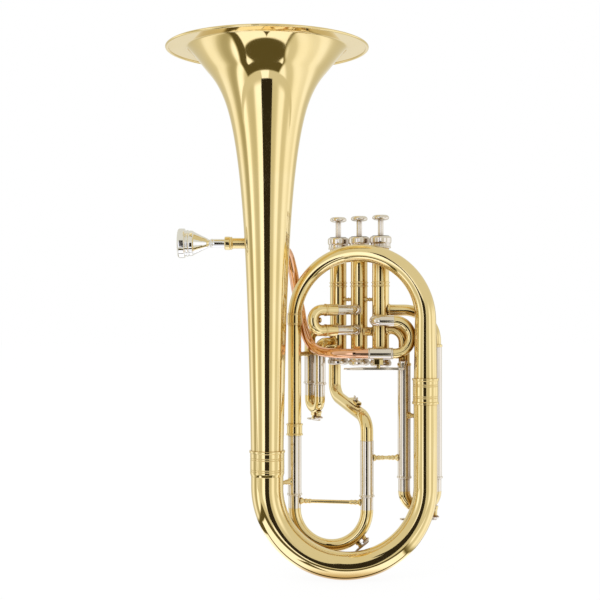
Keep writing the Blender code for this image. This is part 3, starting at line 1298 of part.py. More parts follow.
def make_water_keys(finishes, tuning, first, third):
    """The four water keys."""
    brass, nickel = finishes["brass"], finishes["nickel"]
    third_key = key_on_bow("third_water_key", THIRD_LEFT, THIRD_RIGHT, THIRD_BOW_SPRING_HEIGHT,
                           THIRD_LEG_RADIUS, THIRD_KEY_REACH, THIRD_KEY_THUMB)
    put_key_on_slide(third_key, third, brass, THIRD_NIPPLE_DEPTH)
    first_key = key_on_bow("first_water_key", FIRST_FAR, FIRST_NEAR, FIRST_BOW_SPRING_HEIGHT,
                           VALVE_LEG_RADIUS, FIRST_KEY_REACH, FIRST_KEY_THUMB)
    put_key_on_slide(first_key, first, brass, FIRST_NIPPLE_DEPTH)

    across = slide_angle_between(TUNING_LEFT, TUNING_RIGHT)
    bend = math.hypot(TUNING_RIGHT_X - LEFT_TUBE_X, TUNING_RIGHT_Y - LEFT_TUBE_Y) / 2
    middle = Vector(((LEFT_TUBE_X + TUNING_RIGHT_X) / 2, (LEFT_TUBE_Y + TUNING_RIGHT_Y) / 2,
                     TUNING_BOW_SPRING_HEIGHT))
    outward = across * math.cos(TUNING_KEY_ANGLE) + DOWN * math.sin(TUNING_KEY_ANGLE)
    pivot = middle + outward * (bend + TUNING_LEG_RADIUS + KEY_STANDOFF)
    tuning_key = WaterKey("tuning_water_key", pivot, outward, DOWN, TUNING_KEY_REACH, TUNING_KEY_THUMB,
                          KEY_STANDOFF + TUNING_LEG_RADIUS * 0.4)
    put_key_on_slide(tuning_key, tuning, brass, TUNING_NIPPLE_DEPTH)

    ferrule_radius = bore_round(max(CROOK_RADIUS, LEADPIPE_RADIUS)) + RING_WALL
    pivot = Vector((CROOK_JOINT_X - LEADPIPE_KEY_SETBACK, CROOK_Y,
                    CROOK_LOWER_HEIGHT - ferrule_radius - LEADPIPE_KEY_STANDOFF))
    leadpipe_key = WaterKey("leadpipe_water_key", pivot, DOWN, LEFT, LEADPIPE_KEY_REACH,
                            LEADPIPE_KEY_THUMB, LEADPIPE_KEY_STANDOFF - GAP, LEADPIPE_CUP_HEIGHT)
    leadpipe_key.saddle("leadpipe_key_saddle", brass)
    leadpipe_key.lever(nickel)
    combine(bpy.data.objects["crook"], "UNION", [leadpipe_key.nipple(LEADPIPE_NIPPLE_DEPTH, brass)])


# Braces

def make_braces(finishes):
    """The stays that tie the tubes together."""
    brass = finishes["brass"]
    third_sleeve = sleeve_radius(THIRD_LEG_RADIUS)
    tuning_sleeve = sleeve_radius(TUNING_LEG_RADIUS)
    brace_between("sleeve_brace", TUNING_RIGHT, tuning_sleeve, THIRD_LEFT, third_sleeve,
                  TUNING_RIGHT_JOINT_HEIGHT - SLEEVE_BRACE_DROP, brass)
    brace_between("third_slide_brace", THIRD_LEFT, third_sleeve, (RIGHT_TUBE_X, 0),
                  BOTTOM_BOW_RADIUS_AT_RIGHT, RIGHT_JOINT_HEIGHT - THIRD_BRACE_DROP, brass)
    brace_between("bow_brace", (BELL_AXIS_X, 0), BOTTOM_BOW_RADIUS_AT_BELL, TUNING_LEFT, tuning_sleeve,
                  BELL_FOOT_HEIGHT - BOW_BRACE_DROP, brass)
    make_mouth_brace(brass)


def make_mouth_brace(finish):
    """The stay from the bell to the leadpipe, with a diamond plate on the bell."""
    height = MOUTH_AXIS_HEIGHT
    bell = bell_radius(height)
    place = RECEIVER_MOUTH_X + RECEIVER_LENGTH + MOUTH_BRACE_REACH
    across = place - BELL_AXIS_X
    surface = Vector((place, math.sqrt(bell ** 2 - across ** 2), height))
    normal = Vector((across, surface.y, 0)).normalized()
    plate_place = surface + normal * (MOUTH_BRACE_PLATE_THICKNESS / 2 + GAP * 3)
    bm = bmesh.new()
    side = UP.cross(normal)
    corners = (
        UP * MOUTH_BRACE_PLATE_LENGTH / 2, side * MOUTH_BRACE_PLATE_WIDTH / 2,
        -UP * MOUTH_BRACE_PLATE_LENGTH / 2, -side * MOUTH_BRACE_PLATE_WIDTH / 2,
    )
    faces = []
    for offset in (-0.5, 0.5):
        lift = normal * MOUTH_BRACE_PLATE_THICKNESS * offset
        faces.append([bm.verts.new(plate_place + lift + corner) for corner in corners])
    bm.faces.new(faces[0][::-1])
    bm.faces.new(faces[1])
    bridge(bm, faces[0], faces[1], 4)
    plate = add_object("mouth_brace", bm, finish)
    end = Vector((plate_place.x, MOUTH_AXIS_Y - LEADPIPE_RADIUS - GAP, height))
    stay = rod("stay", plate_place, end, BRACE_RADIUS, finish)
    combine(plate, "UNION", [stay])


def main():
    """Clears the scene and makes the horn."""
    for old in list(bpy.data.objects):
        bpy.data.objects.remove(old)
    finishes = make_materials()
    make_main_tubes(finishes)
    tuning = make_tuning_slide(finishes)
    for number in (1, 2, 3):
        make_valve(number, finishes)
    make_knuckle(1, 2, finishes["brass"])
    make_knuckle(2, 3, finishes["brass"])
    make_return_tube(finishes)
    make_leadpipe(finishes)
    first = make_first_slide(finishes)
    make_second_slide(finishes)
    third = make_third_slide(finishes)
    make_water_keys(finishes, tuning, first, third)
    make_braces(finishes)
    make_mouthpiece(finishes)


main()
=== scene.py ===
"""The looks of an alto horn with an upright bell and three piston valves.

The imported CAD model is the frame. Each class builds the finer pieces of one sub-assembly over it,
on the CAD's own axes: +Z is up, the bell is on the left and the player behind (+Y). The horn's sizes
are in millimetres, which add_mesh turns into metres. The studio's are in metres.
"""

import logging
import math
from dataclasses import dataclass, field
from enum import Enum
from typing import Callable, Iterable, Sequence, Union

import bmesh
import bpy
from mathutils import Matrix, Vector


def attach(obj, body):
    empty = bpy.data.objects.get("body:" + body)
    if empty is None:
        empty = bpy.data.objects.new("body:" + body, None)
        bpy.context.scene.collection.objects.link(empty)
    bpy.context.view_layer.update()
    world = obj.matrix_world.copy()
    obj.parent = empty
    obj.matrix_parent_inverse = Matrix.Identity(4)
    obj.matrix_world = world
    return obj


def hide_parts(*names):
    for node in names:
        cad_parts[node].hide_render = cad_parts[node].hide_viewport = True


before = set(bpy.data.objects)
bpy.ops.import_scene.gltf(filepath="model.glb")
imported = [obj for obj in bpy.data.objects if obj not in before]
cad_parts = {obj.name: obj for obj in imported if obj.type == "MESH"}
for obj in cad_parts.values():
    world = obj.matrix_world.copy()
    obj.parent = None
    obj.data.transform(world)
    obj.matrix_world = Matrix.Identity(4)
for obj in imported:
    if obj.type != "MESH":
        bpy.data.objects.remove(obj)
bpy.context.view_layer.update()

LOG = logging.getLogger("alto_horn")

MM = 0.001
GAP = 0.3
UP = Vector((0, 0, 1))
DOWN = Vector((0, 0, -1))
LEFT = Vector((-1, 0, 0))
RIGHT = Vector((1, 0, 0))
BACK = Vector((0, 1, 0))
HORN = "horn"

Profile = list[tuple[float, float]]
Size = Union[float, Callable[[float], float]]
Colour = tuple[float, float, float]
Axis = tuple[float, float]
Patch = tuple[float, float, float, float]
BMesh = bmesh.types.BMesh
Piece = bpy.types.Object
Socket = bpy.types.NodeSocket

# Places and angles that several sub-assemblies share
LEFT_AXIS: Axis = (-51.5, 30.5)
RETURN_AXIS: Axis = (22.0, 19.5)
MOUTH_AXIS: Axis = (31.0, 338.2)
FRONT_PORT = math.radians(-116.7)
PIPE_WALL = 0.6
SMOOTH_LIMIT = math.radians(48)


# Finishes

class NodeBench:
    """Adds and joins the nodes of one node tree."""

    def __init__(self, tree: bpy.types.NodeTree) -> None:
        """Starts on a tree.

        Args:
            tree: The node tree that gets the nodes.
        """
        self.tree = tree
        self.column = 0

    def add(self, kind: str, **settings: object) -> bpy.types.Node:
        """Adds a node and sets its properties.

        Args:
            kind: The node's type name.
            settings: Properties of the node by name.

        Returns:
            The new node.
        """
        node = self.tree.nodes.new(kind)
        node.location = (self.column * 190, 0)
        self.column += 1
        for key, value in settings.items():
            setattr(node, key, value)
        return node

    def join(self, source: Union[float, Colour, Socket], target: Socket) -> None:
        """Gives an input an output, a number or a colour.

        Args:
            source: What the input gets.
            target: The input.
        """
        if isinstance(source, bpy.types.NodeSocket):
            self.tree.links.new(source, target)
        else:
            target.default_value = (*source, 1) if isinstance(source, tuple) else source

    def maths(self, operation: str, *values: Union[float, Socket]) -> Socket:
        """Works out one value from others.

        Args:
            operation: The Math node's operation.
            values: Numbers or outputs for its inputs in order.

        Returns:
            The output with the result.
        """
        node = self.add("ShaderNodeMath", operation=operation)
        for place, value in zip(node.inputs, values):
            self.join(value, place)
        return node.outputs[0]

    def product(self, first: Socket, *others: Socket) -> Socket:
        """Multiplies several values.

        Args:
            first: The first value.
            others: The others.

        Returns:
            The output with the result.
        """
        for other in others:
            first = self.maths("MULTIPLY", first, other)
        return first

    def spread(self, value: Socket, low: float, high: float, kind: str = "SMOOTHSTEP") -> Socket:
        """Maps a value from a range to 0 and 1.

        Args:
            value: The output to map.
            low: Where the result is 0.
            high: Where the result is 1.
            kind: How it goes from one to the other, SMOOTHSTEP or LINEAR.

        Returns:
            The output with the result.
        """
        node = self.add("ShaderNodeMapRange", interpolation_type=kind)
        for name, number in (("Value", value), ("From Min", low), ("From Max", high)):
            self.join(number, node.inputs[name])
        return node.outputs["Result"]

    def blend(self, share: Socket, first: Union[Colour, Socket], second: Union[float, Colour, Socket],
              kind: str = "FLOAT") -> Socket:
        """Goes from one value or colour to another by a share.

        Args:
            share: How much of the second there is.
            first: The first.
            second: The second.
            kind: FLOAT for values, RGBA for colours.

        Returns:
            The output with the result.
        """
        node = self.add("ShaderNodeMix", data_type=kind)
        place, result = {"FLOAT": (2, 0), "RGBA": (6, 2)}[kind]
        for index, part in ((0, share), (place, first), (place + 1, second)):
            self.join(part, node.inputs[index])
        return node.outputs[result]


def new_material(name: str) -> tuple[bpy.types.Material, NodeBench]:
    """Makes a material.

    Args:
        name: Its name.

    Returns:
        The material and a bench on its nodes.
    """
    made = bpy.data.materials.new(name)
    made.use_nodes = True
    return made, NodeBench(made.node_tree)


class Effect(Enum):
    """The effects that several finishes share, each a shader node group."""

    HANDLING = "handling_marks"
    HAIRLINES = "polishing_hairlines"
    DRIFT = "colour_drift"
    # Painted shade between pieces that stand close
    PAINTED_CLOSE_SHADE = "painted_close_shade"


@dataclass(frozen=True)
class EffectGroups:
    """Builds the shared node groups once.

    Each takes a Scale and puts out one value that changes over the surface.
    """

    usual_scale: float = 60.0
    smudge_threshold: float = 0.52
    smudge_softness: float = 0.22
    smudge_floor: float = 0.35
    print_scale: float = 9.0
    stretch: float = 0.04
    lean: tuple[float, float, float] = (math.radians(4), math.radians(3), 0)
    drift_softness: float = 0.3
    # Ambient occlusion values where the painted shade is none and where it is full
    unshaded_occlusion: float = 0.93
    full_shade_occlusion: float = 0.40

    def get(self, effect: Effect) -> bpy.types.NodeTree:
        """The group of an effect, made the first time it is asked for.

        Args:
            effect: Which effect.

        Returns:
            The node group.
        """
        known = bpy.data.node_groups.get(effect.value)
        if known:
            return known
        group = bpy.data.node_groups.new(effect.value, "ShaderNodeTree")
        scale = group.interface.new_socket(name="Scale", in_out="INPUT", socket_type="NodeSocketFloat")
        scale.default_value = self.usual_scale
        group.interface.new_socket(name="Value", in_out="OUTPUT", socket_type="NodeSocketFloat")
        bench = NodeBench(group)
        entry = bench.add("NodeGroupInput")
        result = {
            Effect.HANDLING: self.handling,
            Effect.HAIRLINES: self.hairlines,
            Effect.DRIFT: self.drift,
            Effect.PAINTED_CLOSE_SHADE: self.painted_close_shade,
        }[effect](bench, entry.outputs["Scale"])
        leave = bench.add("NodeGroupOutput")
        bench.join(result, leave.inputs["Value"])
        return group

    def noise(self, bench: NodeBench, scale: Socket, detail: float, distortion: float, vector: Socket) -> Socket:
        """A noise pattern.

        Args:
            bench: Where its node goes.
            scale: The pattern's scale.
            detail: How many octaves it has.
            distortion: How far it is bent.
            vector: The coordinates.

        Returns:
            The output with the pattern.
        """
        node = bench.add("ShaderNodeTexNoise")
        for name, value in (("Vector", vector), ("Scale", scale), ("Detail", detail), ("Distortion", distortion)):
            bench.join(value, node.inputs[name])
        return node.outputs["Fac"]

    def handling(self, bench: NodeBench, scale: Socket) -> Socket:
        """Soft smudges where hands have held the metal.

        Args:
            bench: Where the nodes go.
            scale: The smudges' scale.

        Returns:
            The output with the smudges.
        """
        place = bench.add("ShaderNodeTexCoord").outputs["Object"]
        wide = self.noise(bench, scale, 3.0, 0.8, place)
        fine = self.noise(bench, bench.maths("MULTIPLY", scale, self.print_scale), 4.0, 0.3, place)
        patches = bench.spread(wide, self.smudge_threshold, self.smudge_threshold + self.smudge_softness)
        return bench.product(patches, bench.maths("ADD", fine, self.smudge_floor))

    def hairlines(self, bench: NodeBench, scale: Socket) -> Socket:
        """Fine lines that the buffing wheel leaves along the tubes.

        Args:
            bench: Where the nodes go.
            scale: The lines' scale.

        Returns:
            The output with the lines.
        """
        mapping = bench.add("ShaderNodeMapping")
        bench.join(bench.add("ShaderNodeTexCoord").outputs["Object"], mapping.inputs["Vector"])
        mapping.inputs["Scale"].default_value = (1.0, 1.0, self.stretch)
        mapping.inputs["Rotation"].default_value = self.lean
        return self.noise(bench, scale, 2.0, 0.0, mapping.outputs["Vector"])

    def drift(self, bench: NodeBench, scale: Socket) -> Socket:
        """Where the lacquer lies a little thicker.

        Args:
            bench: Where the nodes go.
            scale: The patches' scale.

        Returns:
            The output with the patches.
        """
        place = bench.add("ShaderNodeTexCoord").outputs["Object"]
        pattern = self.noise(bench, scale, 4.0, 0.5, place)
        return bench.spread(pattern, 0.5 - self.drift_softness / 2, 0.5 + self.drift_softness / 2)

    def painted_close_shade(self, bench: NodeBench, scale: Socket) -> Socket:
        """Painted shade: where other pieces stand close, found by ambient occlusion, the colour darkens as if shaded
        by them and dimly mirroring them.

        Args:
            bench: Where the nodes go.
            scale: One over the distance in metres that counts as close.

        Returns:
            The output with how much painted shade there is.
        """
        node = bench.add("ShaderNodeAmbientOcclusion", samples=8)
        bench.join(bench.maths("DIVIDE", 1.0, scale), node.inputs["Distance"])
        return bench.spread(node.outputs["AO"], self.unshaded_occlusion, self.full_shade_occlusion)


@dataclass(frozen=True)
class Finish:
    """One finish of the horn and how its surface varies."""

    name: str
    slot: str
    colour: Colour
    thick_colour: Colour
    roughness: float
    smudge_roughness: float = 0.05
    metallic: float = 1.0
    coat: float = 0.0
    coat_roughness: float = 0.03
    sheen: float = 0.0
    handling_scale: float = 26.0
    hairline_scale: float = 2600.0
    hairline_depth: float = 0.008
    hairline_height: float = 0.1 * MM
    drift_scale: float = 14.0
    # Painted shade: the colour the metal darkens to where other pieces stand close, and one over that distance
    close_shade_colour: Colour | None = None
    close_shade_scale: float = 55.0
    groups: EffectGroups = field(default_factory=EffectGroups)

    def material(self) -> bpy.types.Material:
        """The finish as a material, made the first time it is asked for.

        Returns:
            The material.
        """
        known = bpy.data.materials.get(self.name)
        if known:
            return known
        made, bench = new_material(self.name)
        shader = made.node_tree.nodes["Principled BSDF"]
        for name, value in (("Metallic", self.metallic), ("Coat Weight", self.coat),
                            ("Coat Roughness", self.coat_roughness), ("Sheen Weight", self.sheen)):
            bench.join(value, shader.inputs[name])
        self.add_colour(bench, shader)
        self.add_wear(bench, shader)
        return made

    def effect(self, bench: NodeBench, effect: Effect, scale: float) -> Socket:
        """Places a shared group in this finish.

        Args:
            bench: The material's bench.
            effect: Which group.
            scale: Its scale here.

        Returns:
            The group's output.
        """
        node = bench.add("ShaderNodeGroup", node_tree=self.groups.get(effect))
        node.inputs["Scale"].default_value = scale
        return node.outputs["Value"]

    def add_colour(self, bench: NodeBench, shader: bpy.types.Node) -> None:
        """Lets the colour drift to that of thicker lacquer, and darken with painted shade where other pieces stand
        close.

        Args:
            bench: The material's bench.
            shader: Its shader.
        """
        drift = self.effect(bench, Effect.DRIFT, self.drift_scale)
        colour = bench.blend(drift, self.colour, self.thick_colour, "RGBA")
        # Painted shade: darkens the colour where other pieces stand close
        if self.close_shade_colour:
            painted_close_shade = self.effect(bench, Effect.PAINTED_CLOSE_SHADE, self.close_shade_scale)
            colour = bench.blend(painted_close_shade, colour, self.close_shade_colour, "RGBA")
        bench.join(colour, shader.inputs["Base Color"])

    def add_wear(self, bench: NodeBench, shader: bpy.types.Node) -> None:
        """Dulls the polish where hands have been, and raises the hairlines, or the grain of cork and felt.

        Args:
            bench: The material's bench.
            shader: Its shader.
        """
        marks = self.effect(bench, Effect.HANDLING, self.handling_scale)
        rougher = bench.maths("MULTIPLY", marks, self.smudge_roughness)
        bench.join(bench.maths("ADD", rougher, self.roughness), shader.inputs["Roughness"])
        bump = bench.add("ShaderNodeBump")
        lines = self.effect(bench, Effect.HAIRLINES, self.hairline_scale)
        for name, value in (("Strength", self.hairline_depth), ("Distance", self.hairline_height), ("Height", lines)):
            bench.join(value, bump.inputs[name])
        bench.join(bump.outputs["Normal"], shader.inputs["Normal"])


class Finishes(Enum):
    """The finishes that the horn's pieces have."""

    # Brass and nickel darken with painted shade where other pieces stand close
    BRASS = Finish("clear_lacquered_brass", "lacquered_brass", (0.92, 0.755, 0.40), (0.90, 0.725, 0.355),
                   0.05, coat=0.12, close_shade_colour=(0.47, 0.28, 0.07))
    NICKEL = Finish("polished_nickel_silver", "nickel_silver", (0.86, 0.80, 0.72), (0.82, 0.755, 0.67), 0.07,
                    close_shade_colour=(0.40, 0.32, 0.25))
    ROSE = Finish("rose_brass_tube", "rose_brass", (0.93, 0.565, 0.37), (0.89, 0.50, 0.30), 0.06, coat=0.12)
    SILVER = Finish("silver_plating", "silver_plate", (0.93, 0.925, 0.90), (0.90, 0.885, 0.85), 0.05)
    STEEL = Finish("spring_wire", "steel", (0.55, 0.55, 0.56), (0.48, 0.48, 0.50), 0.24)
    CORK = Finish("water_key_cork", "steel", (0.42, 0.23, 0.12), (0.26, 0.13, 0.06), 0.85,
                  metallic=0.0, hairline_scale=1400.0, hairline_depth=0.8, drift_scale=420.0)
    FELT = Finish("black_felt", "steel", (0.020, 0.018, 0.016), (0.045, 0.04, 0.035), 0.95,
                  metallic=0.0, sheen=0.4, hairline_scale=3800.0, hairline_depth=0.7, drift_scale=600.0)


# Routes and meshes

class Route:
    """The centreline of a tube: points with the direction that the tube has at each."""

    held = 0.6

    def __init__(self, start: Sequence[float], direction: Sequence[float], step: float = 4.0) -> None:
        """Starts a route.

        Args:
            start: Where it begins.
            direction: Which way it leaves.
            step: The largest angle between two points of a bend, in degrees.
        """
        self.points = [Vector(start)]
        self.directions = [Vector(direction).normalized()]
        self.step = math.radians(step)

    def run(self, length: float) -> "Route":
        """Adds a straight stretch, with points near its ends that keep its shading flat.

        Args:
            length: How long it is.

        Returns:
            The route itself.
        """
        start, heading = self.points[-1].copy(), self.directions[-1].copy()
        for along in [self.held, length - self.held, length] if length > 5 * self.held else [length]:
            self.points.append(start + heading * along)
            self.directions.append(heading.copy())
        return self

    def run_to_height(self, height: float) -> "Route":
        """Adds a straight stretch up or down to a height."""
        return self.run((height - self.points[-1].z) / self.directions[-1].z)

    def bend(self, angle: float, radius: float, towards: Sequence[float]) -> "Route":
        """Adds a bend.

        Args:
            angle: How far it turns.
            radius: Its radius on the centreline.
            towards: The side on which its centre lies.

        Returns:
            The route itself.
        """
        heading = self.directions[-1]
        side = Vector(towards)
        side = (side - heading * side.dot(heading)).normalized()
        start = self.points[-1].copy()
        steps = max(math.ceil(angle / self.step), 2)
        for index in range(1, steps + 1):
            turn = angle * index / steps
            self.points.append(start + heading * radius * math.sin(turn) + side * radius * (1 - math.cos(turn)))
            self.directions.append(heading * math.cos(turn) + side * math.sin(turn))
        return self

    def shares(self) -> list[float]:
        """How far along the route each point is.

        Returns:
            The shares of its length, from 0 to 1.
        """
        run = [0.0]
        for before, after in zip(self.points, self.points[1:]):
            run.append(run[-1] + (after - before).length)
        return [length / run[-1] for length in run]


def hermite(share: float, start: Vector, leave: Vector, end: Vector, arrive: Vector) -> Vector:
    """A point on the smooth curve between two places.

    Args:
        share: How far along the curve it is, from 0 to 1.
        start: Where the curve starts.
        leave: The slope with which it starts.
        end: Where it ends.
        arrive: The slope with which it ends.

    Returns:
        The point.
    """
    square, cube = share ** 2, share ** 3
    return (start * (2 * cube - 3 * square + 1) + leave * (cube - 2 * square + share)
            + end * (3 * square - 2 * cube) + arrive * (cube - square))


def through(points: Sequence[Vector], steps: int) -> Route:
    """A route on a smooth curve through points.

    Args:
        points: Where the curve passes.
        steps: Points of the route for each span.

    Returns:
        The route.
    """
    ends = [points[0] * 2 - points[1], *points, points[-1] * 2 - points[-2]]
    places, headings = [], []
    for index in range(len(points) - 1):
        before, start, end, after = ends[index:index + 4]
        leave, arrive = (end - before) / 2, (after - start) / 2
        for share in (count / steps for count in range(steps)):
            square = share ** 2
            places.append(hermite(share, start, leave, end, arrive))
            heading = (start * (6 * square - 6 * share) + leave * (3 * square - 4 * share + 1)
                       + end * (6 * share - 6 * square) + arrive * (3 * square - 2 * share))
            headings.append(heading.normalized())
    route = Route(places[0], headings[0])
    route.points = [*places, points[-1]]
    route.directions = [*headings, (points[-1] - points[-2]).normalized()]
    return route


def soften(profile: Profile, radius: float, steps: int = 3, share_of_edge: float = 0.45) -> Profile:
    """Rounds the corners of an open profile.

    Args:
        profile: The profile's points as (distance along the axis, radius).
        radius: How far from a corner the rounding starts at most.
        steps: How many edges each rounded corner gets.
        share_of_edge: How much of an edge one rounding takes at most.

    Returns:
        The profile with rounded corners.
    """
    spots = [Vector(point) for point in profile]
    result = [spots[0]]
    for before, corner, after in zip(spots, spots[1:], spots[2:]):
        to_before, to_after = before - corner, after - corner
        reach = min(radius, to_before.length * share_of_edge, to_after.length * share_of_edge)
        start = corner + to_before.normalized() * reach
        end = corner + to_after.normalized() * reach
        for share in (index / steps for index in range(steps + 1)):
            result.append(start * (1 - share) ** 2 + corner * 2 * share * (1 - share) + end * share ** 2)
    result.append(spots[-1])
    return [(spot.x, spot.y) for spot in hold_flats(result)]


def hold_flats(spots: list[Vector], margin: float = 0.3) -> list[Vector]:
    """Adds a point near both ends of each long straight stretch, so that it is shaded flat.

    Args:
        spots: The profile's points.
        margin: How far from an end the added point is.

    Returns:
        The points with the added ones.
    """
    held = [spots[0]]
    for before, after in zip(spots, spots[1:]):
        length = (after - before).length
        if length > 6 * margin:
            held += [before.lerp(after, margin / length), after.lerp(before, margin / length)]
        held.append(after)
    return held


def round_turns(sides: int) -> Iterable[float]:
    """The angles of the points round a section, in order."""
    return (math.tau * side / sides for side in range(sides))


def add_mesh(name: str, bm: BMesh, unit: float = MM) -> Piece:
    """Makes a smooth-shaded object from a mesh.

    Args:
        name: The object's name.
        bm: Its mesh, which is freed.
        unit: The length in metres of the mesh's unit.

    Returns:
        The object.
    """
    bmesh.ops.recalc_face_normals(bm, faces=bm.faces)
    mesh = bpy.data.meshes.new(name)
    bm.to_mesh(mesh)
    bm.free()
    mesh.transform(Matrix.Scale(unit, 4))
    mesh.shade_smooth()
    mesh.set_sharp_from_angle(angle=SMOOTH_LIMIT)
    made = bpy.data.objects.new(name, mesh)
    bpy.context.scene.collection.objects.link(made)
    return made


def bridge(bm: BMesh, rings: Sequence[list], close: bool = False) -> None:
    """Joins each ring of points to the next. A ring may be one point on the axis.

    Args:
        bm: The mesh.
        rings: The rings in order.
        close: Whether the first and last ring get a face each.
    """
    for lower, upper in zip(rings, rings[1:]):
        sides = max(len(lower), len(upper))
        for side in range(sides):
            after = (side + 1) % sides
            if len(lower) == 1:
                bm.faces.new((lower[0], upper[after], upper[side]))
            elif len(upper) == 1:
                bm.faces.new((lower[side], lower[after], upper[0]))
            else:
                bm.faces.new((lower[side], lower[after], upper[after], upper[side]))
    if close:
        bm.faces.new(rings[0])
        bm.faces.new(rings[-1])


def turn_profile(bm: BMesh, profile: Profile, start: Vector, direction: Vector, sides: int = 64) -> None:
    """Adds a lathe-turned form to a mesh.

    Args:
        bm: The mesh.
        profile: Points as (distance along the axis, radius), closed on the axis or into a ring.
        start: Where the distance along the axis is zero.
        direction: The axis.
        sides: How many sides it has.
    """
    facing = UP.rotation_difference(direction.normalized()).to_matrix()
    place = Matrix.Translation(start) @ facing.to_4x4()
    rings = []
    for along, radius in profile:
        turns = round_turns(sides) if radius > 0 else [0.0]
        rings.append([
            bm.verts.new(place @ Vector((radius * math.cos(turn), radius * math.sin(turn), along)))
            for turn in turns
        ])
    if profile[0][1] > 0:
        rings.append(rings[0])
    bridge(bm, rings)


def turned(name: str, profile: Profile, start: Sequence[float], direction: Sequence[float],
           sides: int = 64) -> Piece:
    """A lathe-turned piece.

    Args:
        name: The piece's name.
        profile: Its section, as turn_profile takes it.
        start: Where the distance along the axis is zero.
        direction: The axis.
        sides: How many sides it has.

    Returns:
        The piece.
    """
    bm = bmesh.new()
    turn_profile(bm, profile, Vector(start), Vector(direction), sides)
    return add_mesh(name, bm)


def sweep_tube(bm: BMesh, route: Route, outer: Size, wall: float, sides: int = 48) -> None:
    """Adds a tube along a route to a mesh.

    Args:
        bm: The mesh.
        route: The tube's centreline.
        outer: Its radius, or a function of the share of its length.
        wall: Its wall, or 0 for a solid bar.
        sides: How many sides it has.
    """
    heading = route.directions[0]
    level = heading.cross(UP)
    across = level.normalized() if level.length > 1e-6 else RIGHT.copy()
    rings: list[list] = []
    bores: list[list] = []
    for place, direction, share in zip(route.points, route.directions, route.shares()):
        across = heading.rotation_difference(direction) @ across
        across = (across - direction * across.dot(direction)).normalized()
        heading = direction
        other = direction.cross(across)
        radius = outer(share) if callable(outer) else outer
        for rows, size in ((rings, radius), (bores, radius - wall))[:2 if wall else 1]:
            rows.append([
                bm.verts.new(place + (across * math.cos(turn) + other * math.sin(turn)) * size)
                for turn in round_turns(sides)
            ])
    bridge(bm, rings, close=not wall)
    if wall:
        bridge(bm, bores)
        bridge(bm, [bores[0], rings[0]])
        bridge(bm, [rings[-1], bores[-1]])


def tube(name: str, route: Route, outer: Size, sides: int = 48) -> Piece:
    """A tube along a route, as sweep_tube makes it.

    Args:
        name: The piece's name.
        route: Its centreline.
        outer: Its radius, or a function of the share of its length.
        sides: How many sides it has.

    Returns:
        The piece.
    """
    bm = bmesh.new()
    sweep_tube(bm, route, outer, PIPE_WALL, sides)
    return add_mesh(name, bm)


def rounded_box(bm: BMesh, size: Sequence[float], place: Vector, rotation: Matrix, edge: float) -> None:
    """Adds a box with rounded edges to a mesh.

    Args:
        bm: The mesh.
        size: The box's three lengths.
        place: Its centre.
        rotation: Its edges' directions as columns.
        edge: How wide the rounding is.
    """
    part = bmesh.new()
    bmesh.ops.create_cube(part, size=1)
    spread = Matrix.Diagonal(Vector(size).to_4d())
    bmesh.ops.transform(part, matrix=spread, verts=part.verts)
    bmesh.ops.bevel(part, geom=part.edges[:], offset=edge, segments=3, profile=0.6, affect="EDGES")
    bmesh.ops.transform(part, matrix=Matrix.Translation(place) @ rotation.to_4x4(), verts=part.verts)
    mesh = bpy.data.meshes.new("box_part")
    part.to_mesh(mesh)
    part.free()
    bm.from_mesh(mesh)
    bpy.data.meshes.remove(mesh)


def bar_through(bm: BMesh, stations: Sequence[tuple[Vector, float, float]], across: Vector,
                sides: int = 20) -> None:
    """Adds a flat bar with rounded edges whose width and thickness change along it.

    Args:
        bm: The mesh.
        stations: For each station, its middle, width and thickness.
        across: The direction of the width.
        sides: How many points each section has.
    """
    rings = []
    for index, (middle, width, thickness) in enumerate(stations):
        before = stations[max(index - 1, 0)][0]
        after = stations[min(index + 1, len(stations) - 1)][0]
        upward = (after - before).cross(across).normalized()
        ring = []
        for turn in round_turns(sides):
            sine, cosine = math.sin(turn), math.cos(turn)
            wide = math.copysign(abs(cosine) ** 0.5, cosine) * width / 2
            high = math.copysign(abs(sine) ** 0.8, sine) * thickness / 2
            ring.append(bm.verts.new(middle + across * wide + upward * high))
        rings.append(ring)
    bridge(bm, rings, close=True)


def flat_direction(angle: float) -> Vector:
    """A level direction at an angle from +X."""
    return Vector((math.cos(angle), math.sin(angle), 0))


def fit(piece: Piece, finish: Finishes, body: str = HORN, nodes: Iterable[str] = ()) -> None:
    """Gives a piece its finish and its place in the frame.

    Args:
        piece: The piece.
        finish: Its finish.
        body: The CAD body that it moves with.
        nodes: The CAD nodes that it stands for.
    """
    piece.data.materials.clear()
    piece.data.materials.append(finish.value.material())
    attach(piece, body)
    if nodes:
        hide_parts(*nodes)
    LOG.info("%s: %s on %s, %d faces", piece.name, finish.value.name, body, len(piece.data.polygons))


def polish_node(node: str, finish: Finishes) -> None:
    """Gives a CAD node that stays in view a finish.

    Args:
        node: The node.
        finish: Its finish.
    """
    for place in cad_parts[node].material_slots:
        place.material = finish.value.material()
    LOG.info("%s: %s on the CAD node", node, finish.value.name)


# Joints between tubes

